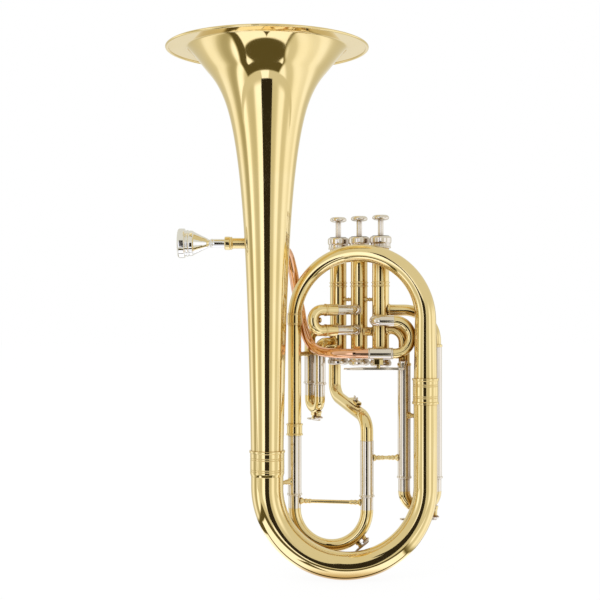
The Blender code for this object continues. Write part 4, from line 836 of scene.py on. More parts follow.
@dataclass
class Ferrules:
    """The sleeves round the joints, with their beads and engraved rings."""

    wall: float = 0.75
    bead: float = 0.7
    bead_width: float = 2.2
    slope: float = 0.25
    groove_depth: float = 0.4
    groove_width: float = 0.7
    groove_from_end: float = 1.3

    def grooves(self, spots: Sequence[float], radius: float) -> Profile:
        """Engraved rings at distances along a sleeve.

        Args:
            spots: The distances.
            radius: The sleeve's radius.

        Returns:
            The part of the section with the rings.
        """
        half = self.groove_width / 2
        points = []
        for spot in spots:
            points += [(spot - half, radius), (spot, radius - self.groove_depth), (spot + half, radius)]
        return points

    def banded(self, name: str, middle: Vector, inside_low: float, inside_high: float, length: float,
               engraved: Sequence[float], taper: float = 0.0) -> Piece:
        """A ferrule with a bead at each end, or a tapering lower end, and engraved rings.

        Args:
            name: The piece's name.
            middle: Its middle on the tube's axis.
            inside_low: The radius of the tube below it.
            inside_high: The radius of the tube above it.
            length: Its length.
            engraved: Where the rings are, from its lower end.
            taper: How long its tapering lower end is, or 0 for a bead there.

        Returns:
            The piece.
        """
        body = max(inside_low, inside_high) + self.wall
        edge = body + self.bead
        bead = min(self.bead_width, length * 0.14)
        if taper:
            profile = [(0, inside_low - GAP), (0, inside_low + 0.2), (taper, body)]
        else:
            profile = [(0, inside_low - GAP), (0, edge), (bead, edge), (bead + self.slope, body)]
        profile += self.grooves(engraved, body)
        profile += [(length - bead - self.slope, body), (length - bead, edge), (length, edge),
                    (length, inside_high - GAP)]
        return turned(name, soften(profile, 0.35), middle - UP * length / 2, UP, 96)

    def plain(self, name: str, middle: Vector, direction: Vector, inside: float, length: float) -> Piece:
        """A short ferrule with a fine ring near both ends.

        Args:
            name: The piece's name.
            middle: Its middle on the tube's axis.
            direction: The tube's axis.
            inside: The tube's radius.
            length: Its length.

        Returns:
            The piece.
        """
        radius = inside + self.wall
        spots = [self.groove_from_end, length - self.groove_from_end]
        profile = [(0, inside - GAP), (0, radius), *self.grooves(spots, radius), (length, radius),
                   (length, inside - GAP)]
        return turned(name, soften(profile, 0.25), middle - direction * length / 2, direction)


@dataclass
class Stay:
    """A turned brace between two tubes."""

    rod: float = 1.95
    ring: float = 2.6
    foot: float = 3.6
    sunk: float = 0.4
    longest_end: float = 11.0

    def build(self, name: str, start: Vector, end: Vector) -> Piece:
        """Turns the stay.

        Args:
            name: The piece's name.
            start: The surface of one tube.
            end: The surface of the other.

        Returns:
            The piece.
        """
        length = (end - start).length
        reach = min(length * 0.42, self.longest_end)
        neck, thin_ring = self.rod * 1.1, self.ring * 0.95
        steps = [(0.1, self.foot), (0.24, self.rod * 1.25), (0.36, self.rod), (0.42, self.ring), (0.56, self.ring),
                 (0.62, neck), (0.76, neck), (0.8, thin_ring), (0.9, thin_ring), (1.0, self.rod)]
        half = [(-self.sunk, 0), (-self.sunk, self.foot), *((reach * share, radius) for share, radius in steps)]
        other = [(length - along, radius) for along, radius in reversed(half)]
        return turned(name, soften([*half, *other], 0.5), start, end - start, 32)

    def between(self, name: str, first: Axis, first_radius: float, second: Axis, second_radius: float,
                height: float) -> Piece:
        """A level stay between two upright tubes.

        Args:
            name: The piece's name.
            first: One tube's axis as (x, y).
            first_radius: Its radius.
            second: The other tube's axis.
            second_radius: Its radius.
            height: The stay's height.

        Returns:
            The piece.
        """
        start, end = Vector((*first, height)), Vector((*second, height))
        along = (end - start).normalized()
        return self.build(name, start + along * first_radius, end - along * second_radius)


# Bell, bows and main tubes

@dataclass
class MainTubes:
    """The bell, the two bows, the left down tube and the ferrules at their joints."""

    bell_x: float = -78.8
    right_x: float = 79.5
    rim_radius: float = 101.5
    rim_height: float = 532.5
    flare_offset: float = 14.0
    flare_power: float = 0.556
    flare_depth: float = 26.0
    swell: float = 1.6
    swell_reach: float = 40.0
    crease_radius: float = 81.4
    crease_bend: float = 3.5
    crease_slope: float = 1.06
    flange_depth: float = 1.35
    bell_wall: float = 0.7
    bell_foot: float = 117.0
    bead_width: float = 3.4
    bead_thickness: float = 2.6
    bead_turn: float = 150.0
    radius_at_bell: float = 16.2
    stoutness: float = 1.1
    stout_reach: float = 240.0
    radius_at_right: float = 11.9
    right_joint: float = 189.0
    top_spring: float = 260.5
    down_radius: float = 6.8
    down_end: float = 150.0
    half_joint: float = 12.9
    short_joint: float = 12.0
    bell_rings: tuple[float, ...] = (5.2, 7.0, 16.8, 18.6)
    right_rings: tuple[float, ...] = (6.2, 7.9, 17.9, 19.6)
    bell_sides: int = 256
    bell_stations: int = 110
    bow_sides: int = 80
    ferrules: Ferrules = field(default_factory=Ferrules)

    def build(self) -> None:
        """Builds and dresses all of them."""
        self.bell()
        self.bottom_bow()
        self.top_bow()
        down = Route((*LEFT_AXIS, self.top_spring), DOWN).run_to_height(self.down_end)
        fit(tube("left_down_tube", down, self.down_radius), Finishes.BRASS, nodes=["down_tube"])
        self.joints()

    def bell_radius(self, height: float) -> float:
        """The bell's outer radius at a height, by its flare and its stouter foot.

        Args:
            height: The height.

        Returns:
            The radius.
        """
        below = self.rim_height - height
        stouter = self.stoutness * max(0, 1 - (height - self.bell_foot) / self.stout_reach)
        return self.rim_radius * (self.flare_offset / (self.flare_offset + below)) ** self.flare_power + stouter

    def bell_line(self) -> Profile:
        """The bell's outer surface: the long flare, the steeper flare to the crease, and the flat flange.

        Returns:
            Its points as (height, radius), from the foot.
        """
        growth = (1 + (self.rim_height - self.bell_foot) / self.flare_offset) ** (1 / self.bell_stations)
        foot = self.rim_height - self.flare_depth
        low = Vector((foot, self.bell_radius(foot) + self.swell))
        heights = (self.rim_height - self.flare_offset * (growth ** station - 1)
                   for station in range(self.bell_stations, 0, -1))
        line = [(height, self.bell_radius(height) + self.swell * max(0, 1 - (foot - height) / self.swell_reach) ** 2)
                for height in heights if height < foot - 1]
        low_slope = (self.flare_power * self.bell_radius(foot) / (self.flare_offset + self.flare_depth)
                     + 2 * self.swell / self.swell_reach)
        lean = math.atan(self.crease_slope)
        high = Vector((self.rim_height - self.flange_depth - self.crease_bend * (1 - math.sin(lean)),
                       self.crease_radius - self.crease_bend * math.cos(lean)))
        leave = Vector((1, low_slope)) * (high.x - low.x)
        arrive = Vector((1, self.crease_slope)) * (high.x - low.x)
        for share in (step / 14 for step in range(14)):
            line.append(tuple(hermite(share, low, leave, high, arrive)))
        for turn in (lean + (math.pi / 2 - lean) * step / 9 for step in range(10)):
            line.append((high.x + self.crease_bend * (math.sin(turn) - math.sin(lean)),
                         high.y + self.crease_bend * (math.cos(lean) - math.cos(turn))))
        flange = self.rim_radius - self.bead_width - 0.1
        steps = [self.crease_radius + GAP, self.crease_radius + (flange - self.crease_radius) / 2, flange]
        return line + [(line[-1][0], radius) for radius in steps]

    def bell(self) -> None:
        """Builds the bell, a thin shell with a rolled rim."""
        outer = self.bell_line()
        inner = []
        for index, (height, radius) in enumerate(outer):
            before, after = outer[max(index - 1, 0)], outer[min(index + 1, len(outer) - 1)]
            rise, spread = after[0] - before[0], after[1] - before[1]
            slant = math.hypot(rise, spread)
            lift = self.bell_wall * spread / slant if index else 0
            inner.append((height + lift, radius - self.bell_wall * rise / slant))
        high, wide = self.bead_thickness / 2, self.bead_width / 2
        bead = [
            (self.rim_height - high + high * math.sin(turn), self.rim_radius - wide + wide * math.cos(turn))
            for turn in (math.radians(self.bead_turn * (step / 9 - 1)) for step in range(19))
        ]
        outer = [point for point in outer if point[1] < bead[0][1]]
        inner = [point for point in inner if point[1] < bead[-1][1] - self.bell_wall]
        profile = [*outer, *bead, *reversed(inner)]
        bell = turned("bell_shell", profile, (self.bell_x, 0, 0), UP, self.bell_sides)
        fit(bell, Finishes.BRASS, nodes=["bell"])

    def bottom_bow(self) -> None:
        """Builds the bottom bow with the straight right-hand tube above it."""
        bend = (self.right_x - self.bell_x) / 2
        centre = bend + (self.radius_at_bell + self.radius_at_right) / 2
        route = Route((self.bell_x, 0, self.bell_foot), DOWN, 2)
        route.run_to_height(centre)
        bend_start = len(route.points) - 1
        route.bend(math.pi, bend, RIGHT)
        bend_end = len(route.points) - 1
        route.run_to_height(self.right_joint)
        shares = route.shares()
        first, last = shares[bend_start], shares[bend_end]

        def radius(share: float) -> float:
            """The bow's radius, which falls along its bend."""
            done = min(max((share - first) / (last - first), 0), 1)
            return self.radius_at_bell + (self.radius_at_right - self.radius_at_bell) * done

        fit(tube("bottom_bow_tube", route, radius, self.bow_sides), Finishes.BRASS, nodes=["bottom_bow"])

    def top_bow(self) -> None:
        """Builds the top bow, narrowing from the right-hand tube to the left down tube."""
        across = Vector((LEFT_AXIS[0] - self.right_x, LEFT_AXIS[1], 0))
        route = Route((self.right_x, 0, self.right_joint), UP, 2).run(1)
        route.run_to_height(self.top_spring)
        route.bend(math.pi, across.length / 2, across)

        def radius(share: float) -> float:
            """The bow's radius, which falls along its whole length."""
            return self.radius_at_right + (self.down_radius - self.radius_at_right) * share

        fit(tube("top_bow_tube", route, radius, self.bow_sides), Finishes.BRASS, nodes=["top_bow"])

    def joints(self) -> None:
        """Builds the ferrules at the joints of the main tubes."""
        foot = Vector((self.bell_x, 0, self.bell_foot))
        joint = Vector((self.right_x, 0, self.right_joint))
        top = Vector((*LEFT_AXIS, self.top_spring))
        tuning = Vector((*LEFT_AXIS, self.down_end - 2.7))
        banded, length = self.ferrules.banded, self.half_joint * 2
        above_foot, down = self.bell_radius(self.bell_foot + self.half_joint), self.down_radius + 0.3
        for piece, node in (
            (banded("bell_joint_ferrule", foot, self.radius_at_bell, above_foot, length, self.bell_rings, 3),
             "bell_ferrule"),
            (banded("right_joint_ferrule", joint, self.radius_at_right, self.radius_at_right, length,
                    self.right_rings), "right_ferrule"),
            (self.ferrules.plain("top_bow_joint_ferrule", top, UP, self.down_radius, self.short_joint),
             "top_bow_ferrule"),
            (banded("tuning_joint_ferrule", tuning, down, down, self.short_joint, []), "tuning_ferrule"),
        ):
            fit(piece, Finishes.BRASS, nodes=[node])


# Slides

@dataclass
class UprightSlide:
    """A slide with two upright legs, a bow below them and an outer sleeve round each leg."""

    name: str
    body: str
    first: Axis
    second: Axis
    spring: float
    collar: float
    leg: float
    inserted: float
    straight: float = 0.0
    sleeve_wall: float = 0.45
    collar_length: float = 1.8
    collar_edge: float = 0.85
    clearance: float = 0.12
    ring_edge: float = 0.07
    half_ring: float = 0.6

    def sleeve_radius(self) -> float:
        """The outer radius of a sleeve."""
        return self.leg + self.clearance + self.sleeve_wall

    def across(self) -> Vector:
        """From the first leg to the second."""
        return Vector((self.second[0] - self.first[0], self.second[1] - self.first[1], 0))

    def bow_middle(self) -> Vector:
        """The point midway between the ends of the bow's bend."""
        return Vector((*self.first, self.spring)) + self.across() / 2

    def build_slide(self, nodes: Iterable[str]) -> None:
        """Builds the nickel legs, the brass bow and the rings where they meet.

        Args:
            nodes: The CAD nodes of the slide.
        """
        seam = self.spring + self.straight
        bow = Route((*self.first, seam), DOWN, 3)
        if self.straight:
            bow.run(self.straight)
        bow.bend(math.pi, self.across().length / 2, self.across())
        if self.straight:
            bow.run(self.straight)
        fit(tube(f"{self.name}_bow", bow, self.leg), Finishes.BRASS, self.body, nodes)
        half, low, high = self.half_ring, self.leg - GAP, self.leg + self.ring_edge
        for place, axis in (("first", self.first), ("second", self.second)):
            route = Route((*axis, self.collar + self.inserted), DOWN).run_to_height(seam)
            fit(tube(f"{self.name}_leg_{place}", route, self.leg), Finishes.NICKEL, self.body)
            profile = [(-half, low), (-half, high), (half, high), (half, low)]
            fit(turned(f"{self.name}_bow_ring_{place}", profile, (*axis, seam), UP), Finishes.BRASS, self.body)

    def sleeve(self, name: str, axis: Axis, top: float) -> Piece:
        """A sleeve with its collar.

        Args:
            name: The piece's name.
            axis: Its axis as (x, y).
            top: The height of its upper end.

        Returns:
            The piece.
        """
        bore, outer, length = self.leg + self.clearance, self.sleeve_radius(), top - self.collar
        edge, collar = outer + self.collar_edge, self.collar_length
        profile = [
            (0, bore), (0, edge - 0.3), (collar * 0.3, edge), (collar, edge), (collar * 1.2, outer + 0.2),
            (collar * 2.1, outer), (length, outer), (length, bore),
        ]
        return turned(name, soften(profile, 0.3), (*axis, self.collar), UP, 56)


@dataclass
class TuningSlide(UprightSlide):
    """The main tuning slide, its two sleeves and the stay between its legs."""

    name: str = "tuning"
    body: str = "tuning_slide"
    first: Axis = LEFT_AXIS
    second: Axis = RETURN_AXIS
    spring: float = 66.4
    collar: float = 79.8
    leg: float = 6.4
    inserted: float = 46.0
    left_top: float = 150.0
    right_top: float = 137.0
    brace_height: float = 74.0

    def build(self) -> None:
        """Builds and dresses the slide and its sleeves."""
        self.build_slide(["tuning_slide"])
        stay = Stay().between("tuning_slide_stay", self.first, self.leg, self.second, self.leg, self.brace_height)
        fit(stay, Finishes.BRASS, self.body, ["tuning_slide_brace"])
        for side, axis, top in (("left", self.first, self.left_top), ("right", self.second, self.right_top)):
            fit(self.sleeve(f"tuning_{side}_sleeve", axis, top), Finishes.NICKEL, nodes=[f"tuning_sleeve_{side}"])


@dataclass
class ValveBlock:
    """The three valves: casings, caps, pistons, stems, buttons and what joins the casings."""

    third: Axis = (36.9, 32.0)
    spacing: float = 26.9
    line_angle: float = math.radians(142.1)
    radius: float = 8.7
    wall: float = 1.05
    bottom: float = 214.0
    top: float = 344.0
    band: float = 296.2
    band_spacing: float = 1.75
    band_edge: float = 0.75
    knuckle_height: float = 247.5
    knuckle_radius: float = 4.6
    stay_height: float = 280.5
    branch: float = 5.8
    rod: float = 2.6
    stem: float = 2.9
    stem_hole: float = 3.3
    seat: float = 343.7
    seat_radius: float = 6.4
    seat_thickness: float = 2.2
    piston_low: float = 233.0
    piston_high: float = 288.5
    piston_clearance: float = 0.35
    guide: float = 291.0
    guide_thickness: float = 4.0
    guide_clearance: float = 0.7
    button_bottom: float = 361.7
    button_radius: float = 8.75
    button_height: float = 5.6
    cap_top: float = 345.7
    cap_clearance: float = 0.2
    felt_height: float = 0.45
    felt_radius: float = 8.7
    dimple: float = 1.8

    def place(self, number: int, height: float = 0.0) -> Vector:
        """A point on the axis of a valve, counted from 1 at the far left."""
        along = flat_direction(self.line_angle) * self.spacing * (3 - number)
        return Vector((self.third[0] + along.x, self.third[1] + along.y, height))

    def inset(self) -> float:
        """How far from a casing's axis a tube starts, inside the casing's wall."""
        return self.radius - self.wall * 0.6

    def build(self) -> None:
        """Builds and dresses the three valves."""
        brass, nickel = Finishes.BRASS, Finishes.NICKEL
        for number in (1, 2, 3):
            valve = f"valve_{number}"
            for name, profile, sides, finish, body, node in (
                ("casing", self.casing(), 64, brass, HORN, "valve_casing"),
                ("cap", self.top_cap(), 72, nickel, HORN, "top_cap"),
                ("cap_felt", self.felt(), 48, Finishes.FELT, HORN, ""),
                ("foot_cap", self.bottom_cap(), 72, nickel, HORN, "bottom_cap"),
                ("valve_piston", self.piston(), 64, nickel, valve, "piston"),
                ("finger_button", self.button(), 64, nickel, valve, "button"),
            ):
                piece = turned(f"{name}_{number}", profile, self.place(number), UP, sides)
                fit(piece, finish, body, [f"{node}_{number}"] if node else [])
            polish_node(f"valve_spring_{number}", Finishes.STEEL)
        for first in (1, 2):
            self.knuckle(first, first + 1)
            self.casing_stay(first, first + 1)

    def casing(self) -> Profile:
        """A casing with its double rings outside and the web of the spring's guide inside.

        Returns:
            The section.
        """
        ring, bore = self.radius + self.band_edge, self.radius - self.wall
        outside = [(self.bottom, bore), (self.bottom, self.radius)]
        for middle in (self.band - self.band_spacing, self.band + self.band_spacing):
            outside += [(middle - 0.7, self.radius), (middle - 0.55, ring), (middle + 0.55, ring),
                        (middle + 0.7, self.radius)]
        outside += [(self.top, self.radius), (self.top, bore)]
        hole, upper = self.rod + self.guide_clearance, self.guide + self.guide_thickness
        return [*soften(outside, 0.22), (upper, bore), (upper, hole), (self.guide, hole), (self.guide, bore)]

    def top_cap(self) -> Profile:
        """A top cap with its rounded shoulder and turned rings.

        Returns:
            The section.
        """
        inside, top, hole = self.radius + self.cap_clearance, self.cap_top, self.stem_hole
        steps = [(12.7, inside), (12.7, 10.1), (11.9, 10.8), (10.9, 10.2), (7.9, 10.0), (7.0, 10.9), (6.2, 11.1),
                 (1.9, 11.1), (0.7, 10.5), (0, 9.3), (0, hole), (2.0, hole), (2.0, inside)]
        return soften([(top - down, radius) for down, radius in steps], 0.5)

    def felt(self) -> Profile:
        """The felt washer on the top cap.

        Returns:
            The section.
        """
        low, high = self.cap_top - GAP, self.cap_top + self.felt_height
        return soften([(low, self.stem_hole), (low, self.felt_radius), (high, self.felt_radius - 0.1),
                       (high, self.stem_hole)], 0.2)

    def bottom_cap(self) -> Profile:
        """A bottom cap with a domed end and turned rings.

        Returns:
            The section.
        """
        low, inside, seat = self.bottom - 2.8, self.radius + self.cap_clearance, self.bottom - 0.3
        steps = [(0.9, self.dimple), (0, 2.6), (0.1, 5.6), (0.6, 8.4), (1.4, 10.2), (2.2, 11.0), (5.0, 11.2),
                 (5.8, 10.6), (6.4, 10.1), (7.6, 10.1), (8.2, 10.9), (9.6, 10.9), (10.3, 10.0), (10.3, inside)]
        profile = [(low + up, radius) for up, radius in steps]
        return soften([*profile, (seat, inside), (seat, self.dimple)], 0.5)

    def piston(self) -> Profile:
        """A piston with its rod, spring seat and stem.

        Returns:
            The section.
        """
        body = self.radius - self.wall - self.piston_clearance
        seat_low, stem_end = self.seat - self.seat_thickness, self.button_bottom + GAP
        return soften([
            (self.piston_low, 0), (self.piston_low, body), (self.piston_high, body), (self.piston_high, self.rod),
            (seat_low, self.rod), (seat_low, self.seat_radius), (self.seat, self.seat_radius),
            (self.seat, self.stem), (stem_end, self.stem), (stem_end, 0),
        ], 0.2)

    def button(self) -> Profile:
        """A finger button: a shallow mushroom with a dished top.

        Returns:
            The section.
        """
        low, edge, height = self.button_bottom, self.button_radius, self.button_height
        steps = [(0.4, 0.72), (0.9, 0.88), (1.8, 0.98), (2.8, 1.0), (3.9, 0.97), (4.8, 0.89), (height - 0.15, 0.76),
                 (height, 0.66), (height - 0.25, 0.56), (height - 0.7, 0.3), (height - 0.8, 0)]
        return soften([(low, 0), (low, 4.6), *((low + up, edge * share) for up, share in steps)], 0.7, 4)

    def knuckle(self, first: int, second: int) -> None:
        """Builds the short tube between two casings, with a flange at each.

        Args:
            first: One valve.
            second: The other.
        """
        start, end = self.place(first, self.knuckle_height), self.place(second, self.knuckle_height)
        rim, near = self.inset(), self.radius + 0.5
        pipe, flange = self.knuckle_radius, self.knuckle_radius + 1
        half = [(rim, pipe - PIPE_WALL), (rim, flange), (near, flange), (near + 0.8, pipe)]
        length = (end - start).length
        profile = half + [(length - along, radius) for along, radius in reversed(half)]
        piece = turned(f"knuckle_tube_{first}_{second}", soften(profile, 0.4), start, end - start, 48)
        fit(piece, Finishes.BRASS, nodes=[f"knuckle_{first}_{second}"])

    def casing_stay(self, first: int, second: int) -> None:
        """Builds the small turned stay between two casings, above the slides.

        Args:
            first: One valve.
            second: The other.
        """
        start, end = self.place(first, self.stay_height), self.place(second, self.stay_height)
        along = (end - start).normalized()
        rim = self.radius - 0.4
        free = (end - start).length - rim * 2
        steps = [(0, 0), (0, 3.0), (0.12, 2.9), (0.24, 1.6), (0.4, 1.5), (0.5, 2.3), (0.6, 1.5), (0.76, 1.6),
                 (0.88, 2.9), (1, 3.0), (1, 0)]
        profile = soften([(free * share, radius) for share, radius in steps], 0.5)
        fit(turned(f"casing_stay_{first}_{second}", profile, start + along * rim, along, 32), Finishes.BRASS)

    def ported_tube(self, name: str, route: Route, radius: float, port: Vector, direction: Vector,
                    wall: float = PIPE_WALL, sides: int = 48) -> Piece:
        """A tube that leaves a casing, with the solder flange there.

        Args:
            name: The piece's name.
            route: Its centreline.
            radius: Its radius.
            port: The point on the casing's axis that it leaves from.
            direction: Which way it leaves.
            wall: Its wall.
            sides: How many sides it has.

        Returns:
            The piece.
        """
        rim = self.radius
        profile = [(rim - 0.9, radius - 0.5), (rim - 0.9, radius + 1.0), (rim + 0.6, radius + 0.8),
                   (rim + 1.5, radius + 0.15), (rim + 1.6, radius - 0.5)]
        bm = bmesh.new()
        sweep_tube(bm, route, radius, wall, sides)
        turn_profile(bm, soften(profile, 0.4), port, direction, 48)
        return add_mesh(name, bm)


@dataclass
class ValveSlides:
    """The slides of the first and third valves and the tubes that lead to them."""

    block: ValveBlock
    first: UprightSlide = field(default_factory=lambda: UprightSlide(
        "first_valve", "first_slide", first=(-25.4, 45.0), second=(-35.5, 62.0), spring=176.7, collar=192.1,
        leg=5.3, inserted=17.0, straight=2.6))
    third: UprightSlide = field(default_factory=lambda: UprightSlide(
        "third_valve", "third_slide", first=(60.2, 22.0), second=(91.9, 22.0), spring=85.0, collar=98.5,
        leg=6.1, inserted=60.0))
    first_elbow: float = 8.0
    first_ports: tuple[float, float] = (235.0, 247.5)
    first_sleeve_top: float = 223.5
    third_elbows: tuple[float, float] = (14.0, 31.5)
    third_ports: tuple[float, float] = (250.7, 269.6)
    third_sleeve_tops: tuple[float, float] = (214.0, 233.0)
    lip_edge: float = 0.45

    def build(self) -> None:
        """Builds and dresses both slides with their branches and sleeves."""
        first, third = self.first, self.third
        first.build_slide(["first_slide"])
        third.build_slide(["third_slide"])
        near, far = self.first_ports
        self.branch("first_sleeve_near", 1, first, first.first, near, self.first_elbow, self.first_sleeve_top)
        self.branch("first_sleeve_far", 1, first, first.second, far, self.first_elbow, self.first_sleeve_top)
        for side, axis, height, elbow, top in zip(("left", "right"), (third.first, third.second), self.third_ports,
                                                  self.third_elbows, self.third_sleeve_tops):
            self.branch(f"third_sleeve_{side}", 3, third, axis, height, elbow, top)

    def branch(self, node: str, number: int, slide: UprightSlide, axis: Axis, height: float, elbow: float,
               sleeve_top: float) -> None:
        """Builds one tube from a casing down into a slide's sleeve, in brass, and the nickel sleeve.

        Args:
            node: The CAD node that both stand for.
            number: The valve that it leaves.
            slide: The slide whose leg it holds.
            axis: The leg's axis as (x, y).
            height: Where it leaves the casing.
            elbow: The radius of its bend.
            sleeve_top: Where the nickel sleeve starts.
        """
        valve = self.block.place(number, height)
        outward = Vector((axis[0] - valve.x, axis[1] - valve.y, 0))
        direction, inset = outward.normalized(), self.block.inset()
        route = Route(valve + direction * inset, direction)
        route.run(outward.length - elbow - inset)
        route.bend(math.pi / 2, elbow, DOWN)
        route.run_to_height(min(sleeve_top, route.points[-1].z - 0.5))
        pipe = self.block.branch
        branch = self.block.ported_tube(f"{node}_branch", route, pipe, valve, direction)
        fit(branch, Finishes.BRASS, nodes=[node])
        top = route.points[-1].z
        fit(slide.sleeve(f"{node}_sleeve", axis, top + 1.2), Finishes.NICKEL)
        radius = slide.sleeve_radius()
        profile = [(0, radius - 0.5), (0, radius + self.lip_edge), (2.2, radius + self.lip_edge), (3.0, pipe + 0.1),
                   (3.0, radius - 0.6)]
        fit(turned(f"{node}_lip", soften(profile, 0.3), (*axis, top - 0.8), UP, 56), Finishes.BRASS)


@dataclass
class SecondSlide:
    """The second valve slide, which points to the front left, and its two elbows."""

    block: ValveBlock
    heights: tuple[float, float] = (269.9, 249.1)
    port_angle: float = FRONT_PORT
    slide_angle: float = math.radians(-155.0)
    stub: float = 3.0
    elbow: float = 8.0
    sleeve_length: float = 17.0
    sleeve_wall: float = 0.5
    clearance: float = 0.12
    lead: float = 16.3
    inserted: float = 13.0
    leg: float = 4.3
    bow: float = 5.6
    ferrule: float = 13.0
    knob: float = 2.75
    body: str = "second_slide"

    def build(self) -> None:
        """Builds and dresses the elbows, the sleeves and the slide."""
        port, along = flat_direction(self.port_angle), flat_direction(self.slide_angle)
        ends = [self.sleeve(f"second_sleeve_{name}", height, port, along)
                for name, height in zip(("upper", "lower"), self.heights)]
        self.slide(ends, along)

    def sleeve(self, node: str, height: float, port: Vector, along: Vector) -> Vector:
        """Builds one elbow with its nickel sleeve.

        Args:
            node: The CAD node that both stand for.
            height: Its height.
            port: The direction in which it leaves the casing.
            along: The slide's direction.

        Returns:
            The end of the sleeve.
        """
        bore = self.leg + self.clearance
        outer, inset, length = bore + self.sleeve_wall, self.block.inset(), self.sleeve_length
        valve = self.block.place(2, height)
        route = Route(valve + port * inset, port)
        route.run(self.stub + self.block.radius - inset)
        route.bend(self.port_angle - self.slide_angle, self.elbow, along)
        elbow = self.block.ported_tube(f"{node}_elbow", route, outer - 0.1, valve, port, self.sleeve_wall)
        fit(elbow, Finishes.NICKEL, nodes=[node])
        start, edge = route.points[-1], outer + 0.15
        profile = [(-0.6, bore), (-0.6, edge), (1.2, edge), (1.5, outer), (length, outer), (length, bore)]
        fit(turned(f"{node}_sleeve", soften(profile, 0.3), start, along, 48), Finishes.NICKEL)
        return start + along * length

    def slide(self, ends: Sequence[Vector], along: Vector) -> None:
        """Builds the legs, the bow and the pull knob.

        Args:
            ends: The ends of the two sleeves.
            along: The slide's direction.
        """
        bend, seam = (ends[0].z - ends[1].z) / 2, self.ferrule
        outer, edge = self.bow + 0.4, self.bow + 0.75
        for name, end in zip(("upper", "lower"), ends):
            leg = Route(end - along * self.inserted, along).run(self.inserted + 1)
            fit(tube(f"second_leg_{name}", leg, self.leg), Finishes.NICKEL, self.body)
            profile = [(0, self.leg - GAP), (0, outer - 0.3), (0.3, outer), (seam - 1.6, outer), (seam - 1.3, edge),
                       (seam, edge), (seam + 0.2, self.bow), (seam + 0.2, self.leg)]
            start = end + along * 0.15
            ring = turned(f"second_bow_ferrule_{name}", soften(profile, 0.25), start, along, 48)
            fit(ring, Finishes.BRASS, self.body)
        route = Route(ends[0] + along * seam, along).run(self.lead - seam)
        route.bend(math.pi, bend, DOWN).run(self.lead - seam)
        fit(tube("second_valve_bow", route, self.bow), Finishes.BRASS, self.body, ["second_slide"])
        crown = (ends[0] + ends[1]) / 2 + along * (self.lead + bend)
        profile = [(0, 0), (0, 1.9), (0.9, 1.5), (1.6, 1.5), (2.2, self.knob), (3.3, self.knob * 1.05),
                   (4.1, self.knob * 0.8), (4.3, 0.9), (3.9, 0)]
        knob = turned("second_pull_knob", soften(profile, 0.4), crown - along * (self.bow - 0.6), -along, 32)
        fit(knob, Finishes.BRASS, self.body)


# Return tube, leadpipe and crook

